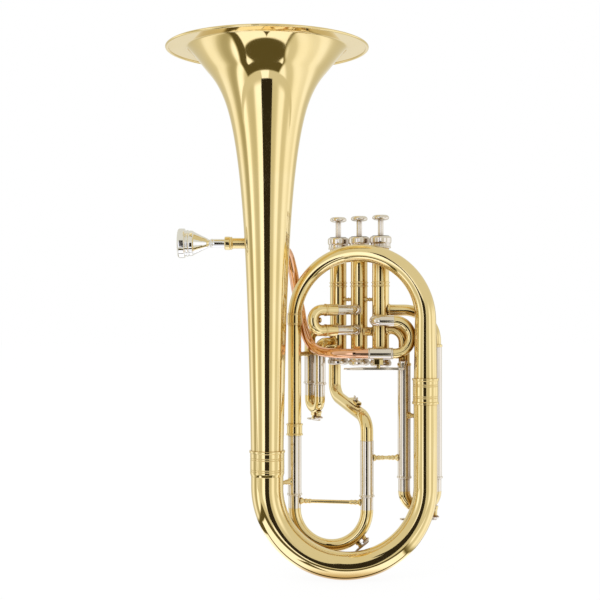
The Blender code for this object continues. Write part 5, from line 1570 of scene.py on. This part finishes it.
@dataclass
class ReturnTube:
    """The S-shaped tube from valve 1 to the tuning slide, with the lyre holder on it."""

    block: ValveBlock
    port_angle: float = math.radians(100)
    port_height: float = 240.0
    reach: float = 18.3
    elbow: float = 8.0
    bend_radius: float = 17.3
    radius: float = 6.45
    bend_top: float = 192.0
    bend_foot: float = 146.0
    end_height: float = 137.0
    holder: tuple[float, float, float] = (7.0, 16.5, 3.2)
    holder_shift: float = 8.0
    holder_wall: float = 1.3
    screw_shift: float = 9.0
    slot: float = 1.6
    screw: float = 1.3
    wing: tuple[float, float, float] = (1.3, 2.6, 3.4)

    def build(self) -> None:
        """Builds and dresses the tube, the holder and the screw."""
        route, spot, heading = self.route()
        port = self.block.place(1, self.port_height)
        direction = flat_direction(self.port_angle)
        pipe = self.block.ported_tube("return_tube_pipe", route, self.radius, port, direction, sides=56)
        fit(pipe, Finishes.BRASS, nodes=["return_tube"])
        self.lyre(spot, heading)

    def route(self) -> tuple[Route, Vector, Vector]:
        """The way of the tube: out of the casing, down, aslant and down again.

        Returns:
            The route, the middle of its slanting stretch and the heading there.
        """
        port, inset = flat_direction(self.port_angle), self.block.inset()
        route = Route(self.block.place(1, self.port_height) + port * inset, port, 3)
        route.run(self.reach - self.elbow - inset)
        route.bend(math.pi / 2, self.elbow, DOWN)
        route.run_to_height(self.bend_top)
        sideways = Vector((*RETURN_AXIS, self.bend_top)) - route.points[-1]
        spare = sideways.length - 2 * self.bend_radius
        drop = self.bend_top - self.bend_foot
        straight = math.sqrt(sideways.length ** 2 - 4 * self.bend_radius * sideways.length + drop ** 2)
        angle = math.atan2(spare, drop) + math.asin(2 * self.bend_radius / math.hypot(spare, drop))
        route.bend(angle, self.bend_radius, sideways)
        route.run(straight / 2)
        spot, heading = route.points[-1].copy(), route.directions[-1].copy()
        route.run(straight / 2)
        route.bend(angle, self.bend_radius, DOWN)
        route.run_to_height(self.end_height)
        return route, spot, heading

    def lyre(self, spot: Vector, heading: Vector) -> None:
        """Builds the holder for the music lyre and its thumb screw.

        Args:
            spot: The middle of the tube's slanting stretch.
            heading: The tube's direction there.
        """
        upward = (UP - heading * UP.dot(heading)).normalized()
        side = heading.cross(upward)
        rotation = Matrix((side, heading, upward)).transposed()
        width, length, thickness = self.holder
        centre = spot + heading * self.holder_shift + upward * (self.radius + 0.1 + thickness / 2)
        bm = bmesh.new()
        leaf, wall = (thickness - self.slot) / 2, self.holder_wall
        for sign in (-1, 1):
            rounded_box(bm, (width, length, leaf), centre + upward * sign * (thickness - leaf) / 2, rotation, 0.35)
            rounded_box(bm, (wall, length, thickness * 0.9), centre + side * sign * (width - wall) / 2, rotation, 0.3)
        rounded_box(bm, (3.4, length * 0.8, 1.6), centre - upward * (thickness / 2 + 0.3), rotation, 0.3)
        fit(add_mesh("lyre_box", bm), Finishes.BRASS, nodes=["lyre_holder"])
        place = centre + heading * (self.screw_shift - self.holder_shift)
        low, head = GAP - self.slot / 2, thickness / 2 + 0.25
        steps = [(0, self.screw), (0, 2.3), (0.5, 2.6), (1.6, 2.3), (2.2, 1.4), (2.3, 0)]
        profile = [(low, 0), (low, self.screw), *((head + up, radius) for up, radius in steps)]
        screw = bmesh.new()
        turn_profile(screw, soften(profile, 0.3), place, upward, 32)
        for sign in (-1, 1):
            wing = place + heading * sign * 2.7 + upward * (head + 2.4)
            rounded_box(screw, self.wing, wing, rotation, 0.5)
        fit(add_mesh("lyre_thumb_screw", screw), Finishes.NICKEL, "lyre_screw", ["lyre_screw"])


@dataclass
class Leadpipe:
    """The mouthpiece's receiver, the copper-coloured leadpipe, the crook and their ferrules."""

    block: ValveBlock
    receiver_x: float = -123.5
    receiver_length: float = 23.5
    receiver_bore: float = 4.75
    pipe: float = 4.9
    crook: float = 5.2
    crook_y: float = 9.0
    lower: float = 226.0
    upper: float = 259.2
    joint_x: float = 35.0
    bend_x: float = 49.4
    port_angle: float = FRONT_PORT
    elbow: float = 7.0
    left_x: float = -51.0
    bell_x: float = -79.5
    behind_foot: float = 43.474
    ferrule_length: float = 25.0
    crook_ferrule_x: float = 48.5
    sleeve_wall: float = 0.45
    sleeve_turn: float = 0.62

    def build(self) -> None:
        """Builds and dresses all of it."""
        self.receiver()
        pipe = tube("leadpipe_tube", through(self.points(), 10), self.pipe, 56)
        fit(pipe, Finishes.ROSE, nodes=["leadpipe"])
        port = self.block.place(3, self.upper)
        direction = flat_direction(self.port_angle)
        crook = self.block.ported_tube("crook_tube", self.crook_route(), self.crook, port, direction, sides=56)
        fit(crook, Finishes.BRASS, nodes=["crook"])
        joint = Vector((self.joint_x, self.crook_y, self.lower))
        long = Ferrules(wall=0.8).plain("leadpipe_long_ferrule", joint, RIGHT, self.crook, self.ferrule_length)
        fit(long, Finishes.NICKEL, nodes=["leadpipe_ferrule"])
        turn, _, elbow_x = self.port_bend()
        sleeve = Route((self.crook_ferrule_x, self.crook_y, self.upper), LEFT, 3)
        sleeve.run(self.crook_ferrule_x - elbow_x).bend(turn * self.sleeve_turn, self.elbow, BACK)
        upper = tube("crook_upper_ferrule", sleeve, self.crook + self.sleeve_wall)
        fit(upper, Finishes.NICKEL, nodes=["crook_ferrule"])

    def receiver(self) -> None:
        """Builds the receiver with its thick collar and a ring behind it."""
        length, bore = self.receiver_length, self.receiver_bore
        profile = [
            (0, bore), (0.1, 6.3), (0.8, 6.9), (5.4, 6.9), (6.1, 6.3), (6.7, 6.8), (7.7, 6.7), (8.3, 5.5),
            (length - 2.2, 5.4), (length - 1.6, 5.75), (length, 5.7), (length, bore),
        ]
        piece = turned("mouth_receiver", soften(profile, 0.4), (self.receiver_x, *MOUTH_AXIS), RIGHT)
        fit(piece, Finishes.BRASS, nodes=["receiver"])

    def points(self) -> list[Vector]:
        """The leadpipe's centreline, from the receiver to the crook's ferrule.

        Returns:
            The places that it passes.
        """
        drop = UP * (MOUTH_AXIS[1] - self.lower)
        over_bell = Vector((self.bell_x, *MOUTH_AXIS))
        over_tube = Vector((self.left_x, *MOUTH_AXIS))
        foot = Vector((self.left_x, self.behind_foot, self.lower))
        plane = Vector((self.left_x, self.crook_y, self.lower))
        joint = Vector((self.joint_x, self.crook_y, self.lower))
        return [
            Vector((self.receiver_x + self.receiver_length, *MOUTH_AXIS)),
            over_bell + Vector((2.0, 0.0, 0.0)),
            over_bell + Vector((19.0, 2.0, -7.5)),
            over_tube + Vector((-2.8, 5.0, -26.0)),
            foot + Vector((0.9, -0.5, 0.0)) + drop * 0.58,
            foot + Vector((5.4, 0.0, 0.0)) + drop * 0.39,
            foot + Vector((9.0, -2.0, 0.0)) + drop * 0.22,
            foot + Vector((15.5, -6.0, 9.0)),
            plane + Vector((25.5, 20.0, 1.6)),
            plane + Vector((42.0, 8.0, 0.0)),
            joint + Vector((-26.0, 1.0, 0.0)),
            joint,
        ]

    def port_bend(self) -> tuple[float, float, float]:
        """The bend with which the crook turns into valve 3.

        Returns:
            Its angle, its distance from the valve, and where it starts across.
        """
        port = flat_direction(self.port_angle)
        turn = math.acos((-port).dot(LEFT))
        valve = self.block.place(3)
        lead = (valve.y - self.crook_y - self.elbow * (1 - math.cos(turn))) / math.sin(turn)
        return turn, lead, valve.x + port.x * lead + self.elbow * math.sin(turn)

    def crook_route(self) -> Route:
        """The crook's route: round its bend, back over the leadpipe, and into valve 3.

        Returns:
            The route.
        """
        turn, lead, elbow_x = self.port_bend()
        route = Route((self.joint_x, self.crook_y, self.lower), RIGHT, 3)
        route.run(self.bend_x - self.joint_x)
        route.bend(math.pi, (self.upper - self.lower) / 2, UP)
        route.run(self.bend_x - elbow_x)
        route.bend(turn, self.elbow, BACK)
        return route.run(lead - self.block.inset())


@dataclass
class Mouthpiece:
    """The silver-plated mouthpiece."""

    rim_x: float = -171.5
    rim: float = 15.2
    cup: float = 9.4
    throat: float = 1.9
    shank: float = 4.5
    shank_end: float = 4.2
    length: float = 68.0

    def build(self) -> None:
        """Turns it, from the rim along the outside to the shank's end and back through the bore."""
        outside = [
            (1.5, self.cup), (0.35, self.cup + 1.3), (0, 12.3), (0.5, 14.2), (1.7, self.rim), (7.0, self.rim),
            (7.7, 14.6), (8.1, 13.2), (9.0, 13.1), (9.4, 13.7), (10.8, 13.7), (11.3, 12.9), (12.1, 12.9),
            (12.6, 13.2), (15.6, 12.9), (16.2, 12.2), (16.8, 11.8), (20.5, 9.9), (25.5, 7.4), (30.0, 5.3),
            (32.2, 3.9), (33.2, 3.7), (34.2, 4.6), (35.4, 4.7), (36.2, 4.3), (37.5, self.shank),
            (self.length, self.shank_end),
        ]
        bore = [(self.length, 3.4), (25.0, self.throat), (19.0, self.throat), (14.5, 4.6), (8.5, 7.8), (3.5, 9.0)]
        profile = soften([*outside, *bore], 0.5)
        piece = turned("mouthpiece_cup_and_shank", profile, (self.rim_x, *MOUTH_AXIS), RIGHT, 96)
        fit(piece, Finishes.SILVER, "mouthpiece", ["mouthpiece"])


# Water keys

@dataclass
class WaterKey:
    """A water key: its nipple and saddle on the tube, and the lever with its cup and cork."""

    name: str
    node: str
    saddle_body: str
    pivot: Vector
    outward: Vector
    along: Vector
    reach: float
    thumb: float
    standoff: float
    saddle_nodes: tuple[str, ...] = ()
    cup: float = 4.3
    cup_height: float = 3.0
    barrel: float = 1.9
    barrel_length: float = 3.4
    pin: float = 0.7
    saddle_length: float = 6.5
    stoutness: float = 1.9
    nipple_root: float = 0.0
    spring_turns: int = 2
    points_per_turn: int = 14

    def __post_init__(self) -> None:
        """Works out the key's own directions."""
        self.outward = Vector(self.outward).normalized()
        along = Vector(self.along)
        self.along = (along - self.outward * along.dot(self.outward)).normalized()
        self.across = self.outward.cross(self.along)
        self.rotation = Matrix((self.along, self.across, self.outward)).transposed()

    def at(self, along: float = 0.0, across: float = 0.0, outward: float = 0.0) -> Vector:
        """A point near the pivot in the key's own directions."""
        return self.pivot + self.along * along + self.across * across + self.outward * outward

    def build(self) -> None:
        """Builds and dresses the lever, cork, spring, saddle and nipple."""
        self.lever()
        self.cork()
        self.spring()
        self.saddle()
        self.nipple()

    def cup_low(self) -> float:
        """How far out from the pivot the cork's face is."""
        return self.barrel - 0.8 - self.cup_height + GAP * 2

    def lever(self) -> None:
        """Builds the lever with its barrel, cup and thumb plate."""
        bm = bmesh.new()
        reach, thumb, barrel, length = self.reach, self.thumb, self.barrel, self.barrel_length
        stations = [
            (-reach - 1.8, 0, 1.6, 0.8), (-reach - 0.6, 0, 3.0, 1.3), (-reach * 0.8, 0.1, 2.6, 1.5),
            (-reach * 0.4, 0, 2.3, 1.5), (0, 0, 3.0, 1.6), (thumb * 0.35, 0, 2.3, 1.5), (thumb * 0.65, 0.1, 2.5, 1.4),
            (thumb * 0.85, 0.2, 4.4, 1.2), (thumb, 0.3, 5.2, 1.1), (thumb + 2.6, 0.2, 4.6, 1.0),
            (thumb + 3.8, 0.1, 2.4, 0.7),
        ]
        bar_through(bm, [(self.at(along, 0, barrel + lift), width, thickness * self.stoutness)
                         for along, lift, width, thickness in stations], self.across)
        hole, end = self.pin + 0.12, barrel * 0.92
        ring = [(0, hole), (0, end), (0.4, barrel), (length - 0.4, barrel), (length, end), (length, hole)]
        turn_profile(bm, soften(ring, 0.2), self.at(0, -length / 2), self.across, 28)
        top, low = barrel - 0.2, self.cup_low()
        cup = [(top, 0), (top, 1.9), (low + 1.9, self.cup * 0.9), (low + 1.1, self.cup), (low + 0.5, self.cup),
               (low + 0.5, 0)]
        turn_profile(bm, soften(cup, 0.4), self.at(-reach), self.outward, 36)
        fit(add_mesh(f"{self.name}_lever", bm), Finishes.NICKEL, self.name, [self.node])

    def cork(self) -> None:
        """Builds the cork in the cup."""
        low, cup = self.cup_low(), self.cup
        profile = [(low + 0.6, 0), (low + 0.6, cup * 0.88), (low + 0.15, cup * 0.86), (low, cup * 0.78), (low, 0)]
        cork = turned(f"{self.name}_cork", soften(profile, 0.2), self.at(-self.reach), self.outward, 36)
        fit(cork, Finishes.CORK, self.name)

    def spring(self) -> None:
        """Winds the wire spring round the pin beside the barrel, with one leg under the lever."""
        steps = self.spring_turns * self.points_per_turn
        coil, side = self.pin + 0.5, self.barrel_length / 2 + 0.05
        points = [self.at(-4.2, side * 0.2, -coil * 0.9)]
        for step in range(steps + 1):
            angle = math.tau * (step / self.points_per_turn - 0.25)
            points.append(self.at(coil * math.cos(angle), side + 0.28 * step / steps, coil * math.sin(angle)))
        bm = bmesh.new()
        sweep_tube(bm, through(points, 2), 0.16, 0, 6)
        fit(add_mesh(f"{self.name}_spring", bm), Finishes.STEEL, self.saddle_body)

    def saddle(self) -> None:
        """Builds two rounded ears with the pin through them, and the foot on the tube."""
        bm = bmesh.new()
        ear, foot = self.barrel_length / 2 + 0.75, -self.barrel - 0.35
        block = (self.saddle_length, ear * 2 + 1.0, foot + self.standoff)
        rounded_box(bm, block, self.at(0, 0, (foot - self.standoff) / 2), self.rotation, 0.35)
        post = soften([(0, 0), (0, 1.75), (0.85, 1.75), (0.85, 0)], 0.2)
        for sign in (-1, 1):
            turn_profile(bm, post, self.at(0, sign * (ear - 0.42)), self.across * sign, 24)
            rounded_box(bm, (3.1, 0.85, 0.6 - foot), self.at(0, sign * ear, foot / 2), self.rotation, 0.2)
        pin = [(-ear - 0.9, 0), (-ear - 0.9, 1.1), (-ear - 0.35, 1.2), (-ear - 0.3, self.pin), (ear + 0.5, self.pin),
               (ear + 0.8, 0)]
        turn_profile(bm, soften(pin, 0.2), self.pivot, self.across, 20)
        fit(add_mesh(f"{self.name}_saddle", bm), Finishes.BRASS, self.saddle_body, self.saddle_nodes)

    def nipple(self) -> None:
        """Builds the short tube under the cork, with its seat on the pipe."""
        end, low = self.cup_low() - 0.15, -self.standoff - self.nipple_root
        profile = [(low, 1.1), (low, 3.4), (low + (end - low) * 0.3, 2.9), (low + (end - low) * 0.5, 2.3),
                   (end - 0.3, 2.3), (end, 2.0), (end, 1.1)]
        nipple = turned(f"{self.name}_nipple", soften(profile, 0.3), self.at(-self.reach), self.outward, 36)
        fit(nipple, Finishes.BRASS, self.saddle_body)


@dataclass
class WaterKeys:
    """The four water keys, placed from the slides and the tube that carry them."""

    tuning: TuningSlide
    slides: ValveSlides
    leadpipe: Leadpipe
    standoff: float = 4.2
    tuning_standoff: float = 3.55
    tuning_angle: float = math.radians(50)
    leadpipe_pivot: tuple[float, float, float] = (33.0, 9.0, 212.592)

    def build(self) -> None:
        """Builds and dresses the four keys."""
        third, first, tuning = self.slides.third, self.slides.first, self.tuning
        slant = tuning.across().normalized() * math.cos(self.tuning_angle) + DOWN * math.sin(self.tuning_angle)
        keys = [
            self.on_bow(third, DOWN, self.standoff, name="third_key", node="third_water_key",
                        along=-third.across(), reach=15.5, thumb=16.5, nipple_root=5.5),
            self.on_bow(first, DOWN, self.standoff, name="first_key", node="first_water_key",
                        along=first.across(), reach=8.0, thumb=9.5, nipple_root=1.2),
            self.on_bow(tuning, slant, self.tuning_standoff, name="tuning_key", node="tuning_water_key", along=DOWN,
                        reach=8.0, thumb=9.0, nipple_root=1.0, cup=4.0, saddle_length=4.6, stoutness=1.6),
            self.on_leadpipe(),
        ]
        for key in keys:
            key.build()

    def on_bow(self, slide: UprightSlide, outward: Vector, standoff: float, **settings: object) -> WaterKey:
        """A key on the outside of an upright slide's bow.

        Args:
            slide: The slide that carries it.
            outward: From the bow's middle to the key.
            standoff: From the bow's surface to the key's pivot.
            settings: The key's other fields by name.

        Returns:
            The key.
        """
        pivot = slide.bow_middle() + outward * (slide.across().length / 2 + slide.leg + standoff)
        return WaterKey(saddle_body=slide.body, pivot=pivot, outward=outward, standoff=standoff + slide.leg * 0.3,
                        **settings)

    def on_leadpipe(self) -> WaterKey:
        """The long key under the crook's ferrule.

        Returns:
            The key.
        """
        pivot = Vector(self.leadpipe_pivot)
        standoff = self.leadpipe.lower - self.leadpipe.crook - pivot.z - 0.5
        return WaterKey("leadpipe_key", "leadpipe_water_key", HORN, pivot, DOWN, LEFT, 25.0, 31.0, standoff,
                        ("leadpipe_key_saddle",), cup=4.4, cup_height=8.0, saddle_length=9.0, stoutness=2.0)


# Stays between the tubes

@dataclass
class Stays:
    """The braces that tie the tubes together."""

    tuning: TuningSlide
    slides: ValveSlides
    tubes: MainTubes
    sleeve_height: float = 119.5
    third_height: float = 163.0
    bow_height: float = 94.5
    first_height: float = 224.0
    plate_x: float = -97.0
    plate: tuple[float, float] = (3.7, 9.2)
    plate_sides: int = 48

    def build(self) -> None:
        """Builds and dresses the stays."""
        between, tubes, tuning = Stay().between, self.tubes, self.tuning
        first, third = self.slides.first, self.slides.third
        right, bell = (tubes.right_x, 0.0), (tubes.bell_x, 0.0)
        sleeve, wide = tuning.sleeve_radius(), third.sleeve_radius()
        stays = [
            (between("sleeve_stay", tuning.second, sleeve, third.first, wide, self.sleeve_height), "sleeve_brace"),
            (between("third_sleeve_stay", third.first, wide, right, tubes.radius_at_right, self.third_height),
             "third_slide_brace"),
            (between("bow_stay", bell, tubes.radius_at_bell, tuning.first, sleeve, self.bow_height), "bow_brace"),
            (between("first_sleeve_stay", LEFT_AXIS, tubes.down_radius, first.second, first.sleeve_radius(),
                     self.first_height), "first_slide_brace"),
            (self.mouth_stay(), "mouth_brace"),
        ]
        for piece, node in stays:
            fit(piece, Finishes.BRASS, nodes=[node])

    def mouth_stay(self) -> Piece:
        """The diamond plate on the bell and the stay that runs from it to the leadpipe.

        Returns:
            The piece.
        """
        depth, height = MOUTH_AXIS
        radius = self.tubes.bell_radius(height)
        across = self.plate_x - self.tubes.bell_x
        surface = Vector((self.plate_x, math.sqrt(radius ** 2 - across ** 2), height))
        normal = Vector((across, surface.y, 0)).normalized()
        side = UP.cross(normal)
        bm = bmesh.new()
        rings = []
        for lift, grow in ((-0.1, 1.0), (0.7, 1.0), (1.1, 0.86)):
            ring = []
            for turn in round_turns(self.plate_sides):
                sine, cosine = math.sin(turn), math.cos(turn)
                reach = grow / (abs(cosine) ** 1.25 + abs(sine) ** 1.25) ** 0.8
                wide, high = self.plate[0] * cosine * reach, self.plate[1] * sine * reach
                curved = radius * (1 - math.cos(wide / radius))
                ring.append(bm.verts.new(surface + side * wide + UP * high + normal * (lift - curved)))
            rings.append(ring)
        bridge(bm, rings, close=True)
        length = depth - surface.y - 3.6
        profile = [(0, 0), (0, 3.0), (1.0, 2.6), (1.8, 1.7), (length * 0.5, 1.5), (length - 1.8, 1.7),
                   (length - 0.8, 2.6), (length, 2.8), (length, 0)]
        turn_profile(bm, soften(profile, 0.4), surface + normal * 0.6, BACK, 28)
        return add_mesh("mouth_stay", bm)


# Studio

@dataclass
class Studio:
    """The white floor, the light, what the polished metal mirrors, and the camera, all in metres."""

    camera_place: tuple[float, float, float] = (-0.046, -1.15, 0.28)
    lens: float = 69.0
    floor_reach: float = 6.0
    table_reach: float = 4.0
    table_height: float = -0.15
    card_depth: float = -0.66
    card_edges: tuple[float, float] = (-0.248, 0.102)
    card_heights: tuple[float, float] = (-0.149, 0.36)
    card_shoulder: tuple[float, float] = (-0.158, 0.60)
    card_level: float = 0.03
    cloth: Patch = (-0.50, 0.235, -0.48, 0.74)
    cloth_slant: float = 0.28
    sheet_on_cloth: Patch = (-0.31, 0.21, 0.05, 0.61)
    sheet_below: Patch = (-0.42, 0.20, -0.272, 0.0)
    bright_patch: Patch = (-0.22, -0.02, -0.90, -0.48)
    cloth_level: float = 0.09
    table_level: float = 0.70
    sheet_level: float = 1.25
    ceiling_level: float = 0.72
    panels: tuple[tuple[float, float], ...] = (
        (-180, 0.86), (-166, 0.80), (-150, 0.64), (-138, 0.66), (-127, 0.80), (-117, 1.10), (-107, 0.95),
        (-97, 0.55), (-87, 0.44), (-79, 0.74), (-70, 1.32), (-61, 0.95), (-50, 0.64), (-42, 0.62),
        (-33, 1.06), (-22, 1.32), (16, 0.66), (23, 0.66), (36, 1.05), (45, 1.18), (57, 0.72), (66, 0.74),
        (82, 1.12), (94, 1.02), (104, 0.95), (114, 1.12), (126, 0.86), (140, 0.64), (152, 0.66),
        (166, 0.80), (180, 0.86),
    )

    def build(self) -> None:
        """Sets up the studio and the camera."""
        self.floor()
        self.mirrored_table()
        self.dark_card()
        self.surroundings()
        self.lamp()
        self.camera()
        bpy.context.scene.view_settings.view_transform = "Standard"

    def sheet(self, name: str, corners: Sequence[Sequence[float]]) -> Piece:
        """A flat sheet of the studio.

        Args:
            name: Its name.
            corners: Its corners in order.

        Returns:
            The sheet.
        """
        bm = bmesh.new()
        bm.faces.new([bm.verts.new(corner) for corner in corners])
        made = add_mesh(name, bm, 1.0)
        return made

    def level_sheet(self, name: str, reach: float, height: float) -> Piece:
        """A level square sheet, as far to each side of the horn as its reach."""
        corners = ((-reach, -reach), (reach, -reach), (reach, reach), (-reach, reach))
        return self.sheet(name, [(*corner, height) for corner in corners])

    def floor(self) -> None:
        """Lays the white floor that the horn stands on, with a faint shadow."""
        sheet = self.level_sheet("floor", self.floor_reach, 0)
        made, bench = new_material("white_floor")
        shader, ending = (made.node_tree.nodes[name] for name in ("Principled BSDF", "Material Output"))
        for name, value in (("Base Color", (0.8, 0.8, 0.8)), ("Roughness", 0.9), ("Specular IOR Level", 0.0)):
            bench.join(value, shader.inputs[name])
        glow = bench.add("ShaderNodeEmission")
        glow.inputs["Strength"].default_value = 1.02
        mix = bench.add("ShaderNodeMixShader")
        share = bench.maths("MULTIPLY", bench.add("ShaderNodeLightPath").outputs["Is Camera Ray"], 0.92)
        for source, place in zip((share, shader.outputs[0], glow.outputs[0]), mix.inputs):
            bench.join(source, place)
        bench.join(mix.outputs[0], ending.inputs["Surface"])
        sheet.data.materials.append(made)
        sheet.visible_glossy = False

    def mirror_only(self, sheet: Piece) -> tuple[NodeBench, bpy.types.Node]:
        """Leaves a sheet visible in reflections alone, and makes it shine.

        Args:
            sheet: The sheet.

        Returns:
            The bench of its material, and the node that shines.
        """
        for kind in ("camera", "diffuse", "shadow", "transmission", "volume_scatter"):
            setattr(sheet, f"visible_{kind}", False)
        made, bench = new_material(sheet.name)
        glow = bench.add("ShaderNodeEmission")
        bench.join(glow.outputs[0], made.node_tree.nodes["Material Output"].inputs["Surface"])
        sheet.data.materials.append(made)
        return bench, glow

    def inside(self, bench: NodeBench, x: Socket, y: Socket, patch: Patch, soft: float = 0.012) -> Socket:
        """A mask of a soft-edged rectangle on the mirrored table.

        Args:
            bench: Where its nodes go.
            x: The place across.
            y: The place in depth.
            patch: Its left, right, front and back edges.
            soft: Half the width of its edges.

        Returns:
            The mask.
        """
        left, right, front, back = patch
        return bench.product(bench.spread(x, left - soft, left + soft), bench.spread(x, right + soft, right - soft),
                             bench.spread(y, front - soft, front + soft), bench.spread(y, back + soft, back - soft))

    def light(self, bench: NodeBench, level: Socket) -> Socket:
        """Turns a level into the light's colour, which is warmer where it is dimmer.

        Args:
            bench: Where its nodes go.
            level: How bright the light is.

        Returns:
            The colour.
        """
        colour = bench.add("ShaderNodeCombineColor")
        for channel, power in (("Red", 0.92), ("Green", 1.0), ("Blue", 1.38)):
            bench.join(bench.maths("POWER", level, power), colour.inputs[channel])
        return colour.outputs["Color"]

    def panel_level(self, bench: NodeBench, x: Socket, y: Socket) -> Socket:
        """How bright the walls are round the horn, from their bearing.

        Args:
            bench: Where its nodes go.
            x: The direction's part across.
            y: The direction's part in depth.

        Returns:
            The level.
        """
        bearing = bench.maths("ARCTAN2", x, bench.maths("MULTIPLY", y, -1.0))
        curve = bench.add("ShaderNodeFloatCurve")
        tallest = max(level for _, level in self.panels)
        spots = [((degrees + 180) / 360, level / tallest) for degrees, level in self.panels]
        points = curve.mapping.curves[0].points
        points[0].location, points[len(points) - 1].location = spots[0], spots[-1]
        for spot in spots[1:-1]:
            points.new(*spot)
        curve.mapping.update()
        bench.join(bench.spread(bearing, -math.pi, math.pi, "LINEAR"), curve.inputs["Value"])
        return bench.maths("MULTIPLY", curve.outputs["Value"], tallest)

    def mirrored_table(self) -> None:
        """Lays the table that the metal mirrors, with a dark cloth and white sheets on it."""
        bench, glow = self.mirror_only(self.level_sheet("mirrored_table", self.table_reach, self.table_height))
        place = bench.add("ShaderNodeSeparateXYZ")
        bench.join(bench.add("ShaderNodeNewGeometry").outputs["Position"], place.inputs[0])
        x, y = place.outputs["X"], place.outputs["Y"]
        shifted = bench.maths("ADD", x, 0.08)
        slanted = bench.maths("SUBTRACT", x, bench.maths("MULTIPLY", y, self.cloth_slant))
        left, right, front, back = self.cloth
        cloth = bench.product(self.inside(bench, x, y, (left - 1, right, front, back), 0.03),
                              bench.spread(slanted, left - 0.03, left + 0.03))
        slope = bench.maths("MULTIPLY", bench.maths("ADD", y, 0.262), 0.42)
        wedge = bench.product(
            bench.spread(bench.maths("SUBTRACT", slope, bench.maths("ABSOLUTE", shifted)), -0.004, 0.004),
            bench.spread(y, -0.12, -0.16))
        front_strip = bench.product(bench.spread(y, -0.46, -0.50), bench.spread(y, -0.85, -0.65))
        level = self.panel_level(bench, shifted, y)
        for mask, brightness in (
            (cloth, self.cloth_level),
            (self.inside(bench, x, y, self.sheet_on_cloth), self.sheet_level),
            (self.inside(bench, x, y, self.sheet_below, 0.01), self.sheet_level),
            (wedge, self.cloth_level),
            (front_strip, self.table_level),
            (self.inside(bench, x, y, self.bright_patch), self.sheet_level),
        ):
            level = bench.blend(mask, level, brightness)
        bench.join(self.light(bench, level), glow.inputs["Color"])

    def dark_card(self) -> None:
        """Hangs the dark card in front, which draws the black line on every tube."""
        left, right = self.card_edges
        foot, top = self.card_heights
        inner, high = self.card_shoulder
        outline = ((left, foot), (right, foot), (right, top), (inner, top), (inner, high), (left, high))
        _, glow = self.mirror_only(self.sheet("dark_card", [(x, self.card_depth, z) for x, z in outline]))
        glow.inputs["Color"].default_value = (1.0, 0.8, 0.5, 1)
        glow.inputs["Strength"].default_value = self.card_level

    def surroundings(self) -> None:
        """Makes the walls, pale panels with dimmer gaps, which only the metal mirrors: the camera sees white."""
        world = bpy.data.worlds.new("white_studio")
        bpy.context.scene.world = world
        world.use_nodes = True
        bench = NodeBench(world.node_tree)
        place = bench.add("ShaderNodeSeparateXYZ")
        bench.join(bench.add("ShaderNodeTexCoord").outputs["Generated"], place.inputs[0])
        walls = self.panel_level(bench, place.outputs["X"], place.outputs["Y"])
        level = bench.blend(bench.spread(place.outputs["Z"], 0.06, 0.30), walls, self.ceiling_level)
        mirrored = bench.add("ShaderNodeLightPath").outputs["Is Glossy Ray"]
        seen = bench.blend(mirrored, (1, 1, 1), self.light(bench, level), "RGBA")
        backdrop = world.node_tree.nodes["Background"]
        bench.join(seen, backdrop.inputs["Color"])
        backdrop.inputs["Strength"].default_value = 1.0

    def lamp(self) -> None:
        """Hangs a wide soft lamp above the front, kept out of the reflections."""
        data = bpy.data.lights.new("soft_lamp", "AREA")
        data.shape = "RECTANGLE"
        data.size, data.size_y = 1.6, 1.2
        data.energy = 12.0
        made = bpy.data.objects.new("soft_lamp", data)
        made.location = (-0.9, -1.4, 1.9)
        made.rotation_euler = (Vector((0, 0, 0.25)) - Vector(made.location)).to_track_quat("-Z", "Y").to_euler()
        made.visible_glossy = False
        bpy.context.scene.collection.objects.link(made)

    def camera(self) -> None:
        """Sets the camera, level and at the photograph's distance."""
        data = bpy.data.cameras.new("camera")
        data.lens = self.lens
        data.sensor_width = 36.0
        data.clip_start = 0.01
        made = bpy.data.objects.new("camera", data)
        made.location = self.camera_place
        made.rotation_euler = (math.pi / 2, 0, 0)
        bpy.context.scene.collection.objects.link(made)
        bpy.context.scene.camera = made


def main() -> None:
    """Builds the horn's sub-assemblies in order, then the studio."""
    logging.basicConfig(level=logging.INFO, format="%(name)s: %(message)s")
    tubes = MainTubes()
    tubes.build()
    tuning = TuningSlide()
    tuning.build()
    block = ValveBlock()
    block.build()
    slides = ValveSlides(block)
    slides.build()
    SecondSlide(block).build()
    ReturnTube(block).build()
    leadpipe = Leadpipe(block)
    leadpipe.build()
    Mouthpiece().build()
    WaterKeys(tuning, slides, leadpipe).build()
    Stays(tuning, slides, tubes).build()
    Studio().build()


if __name__ == "__main__":
    main()
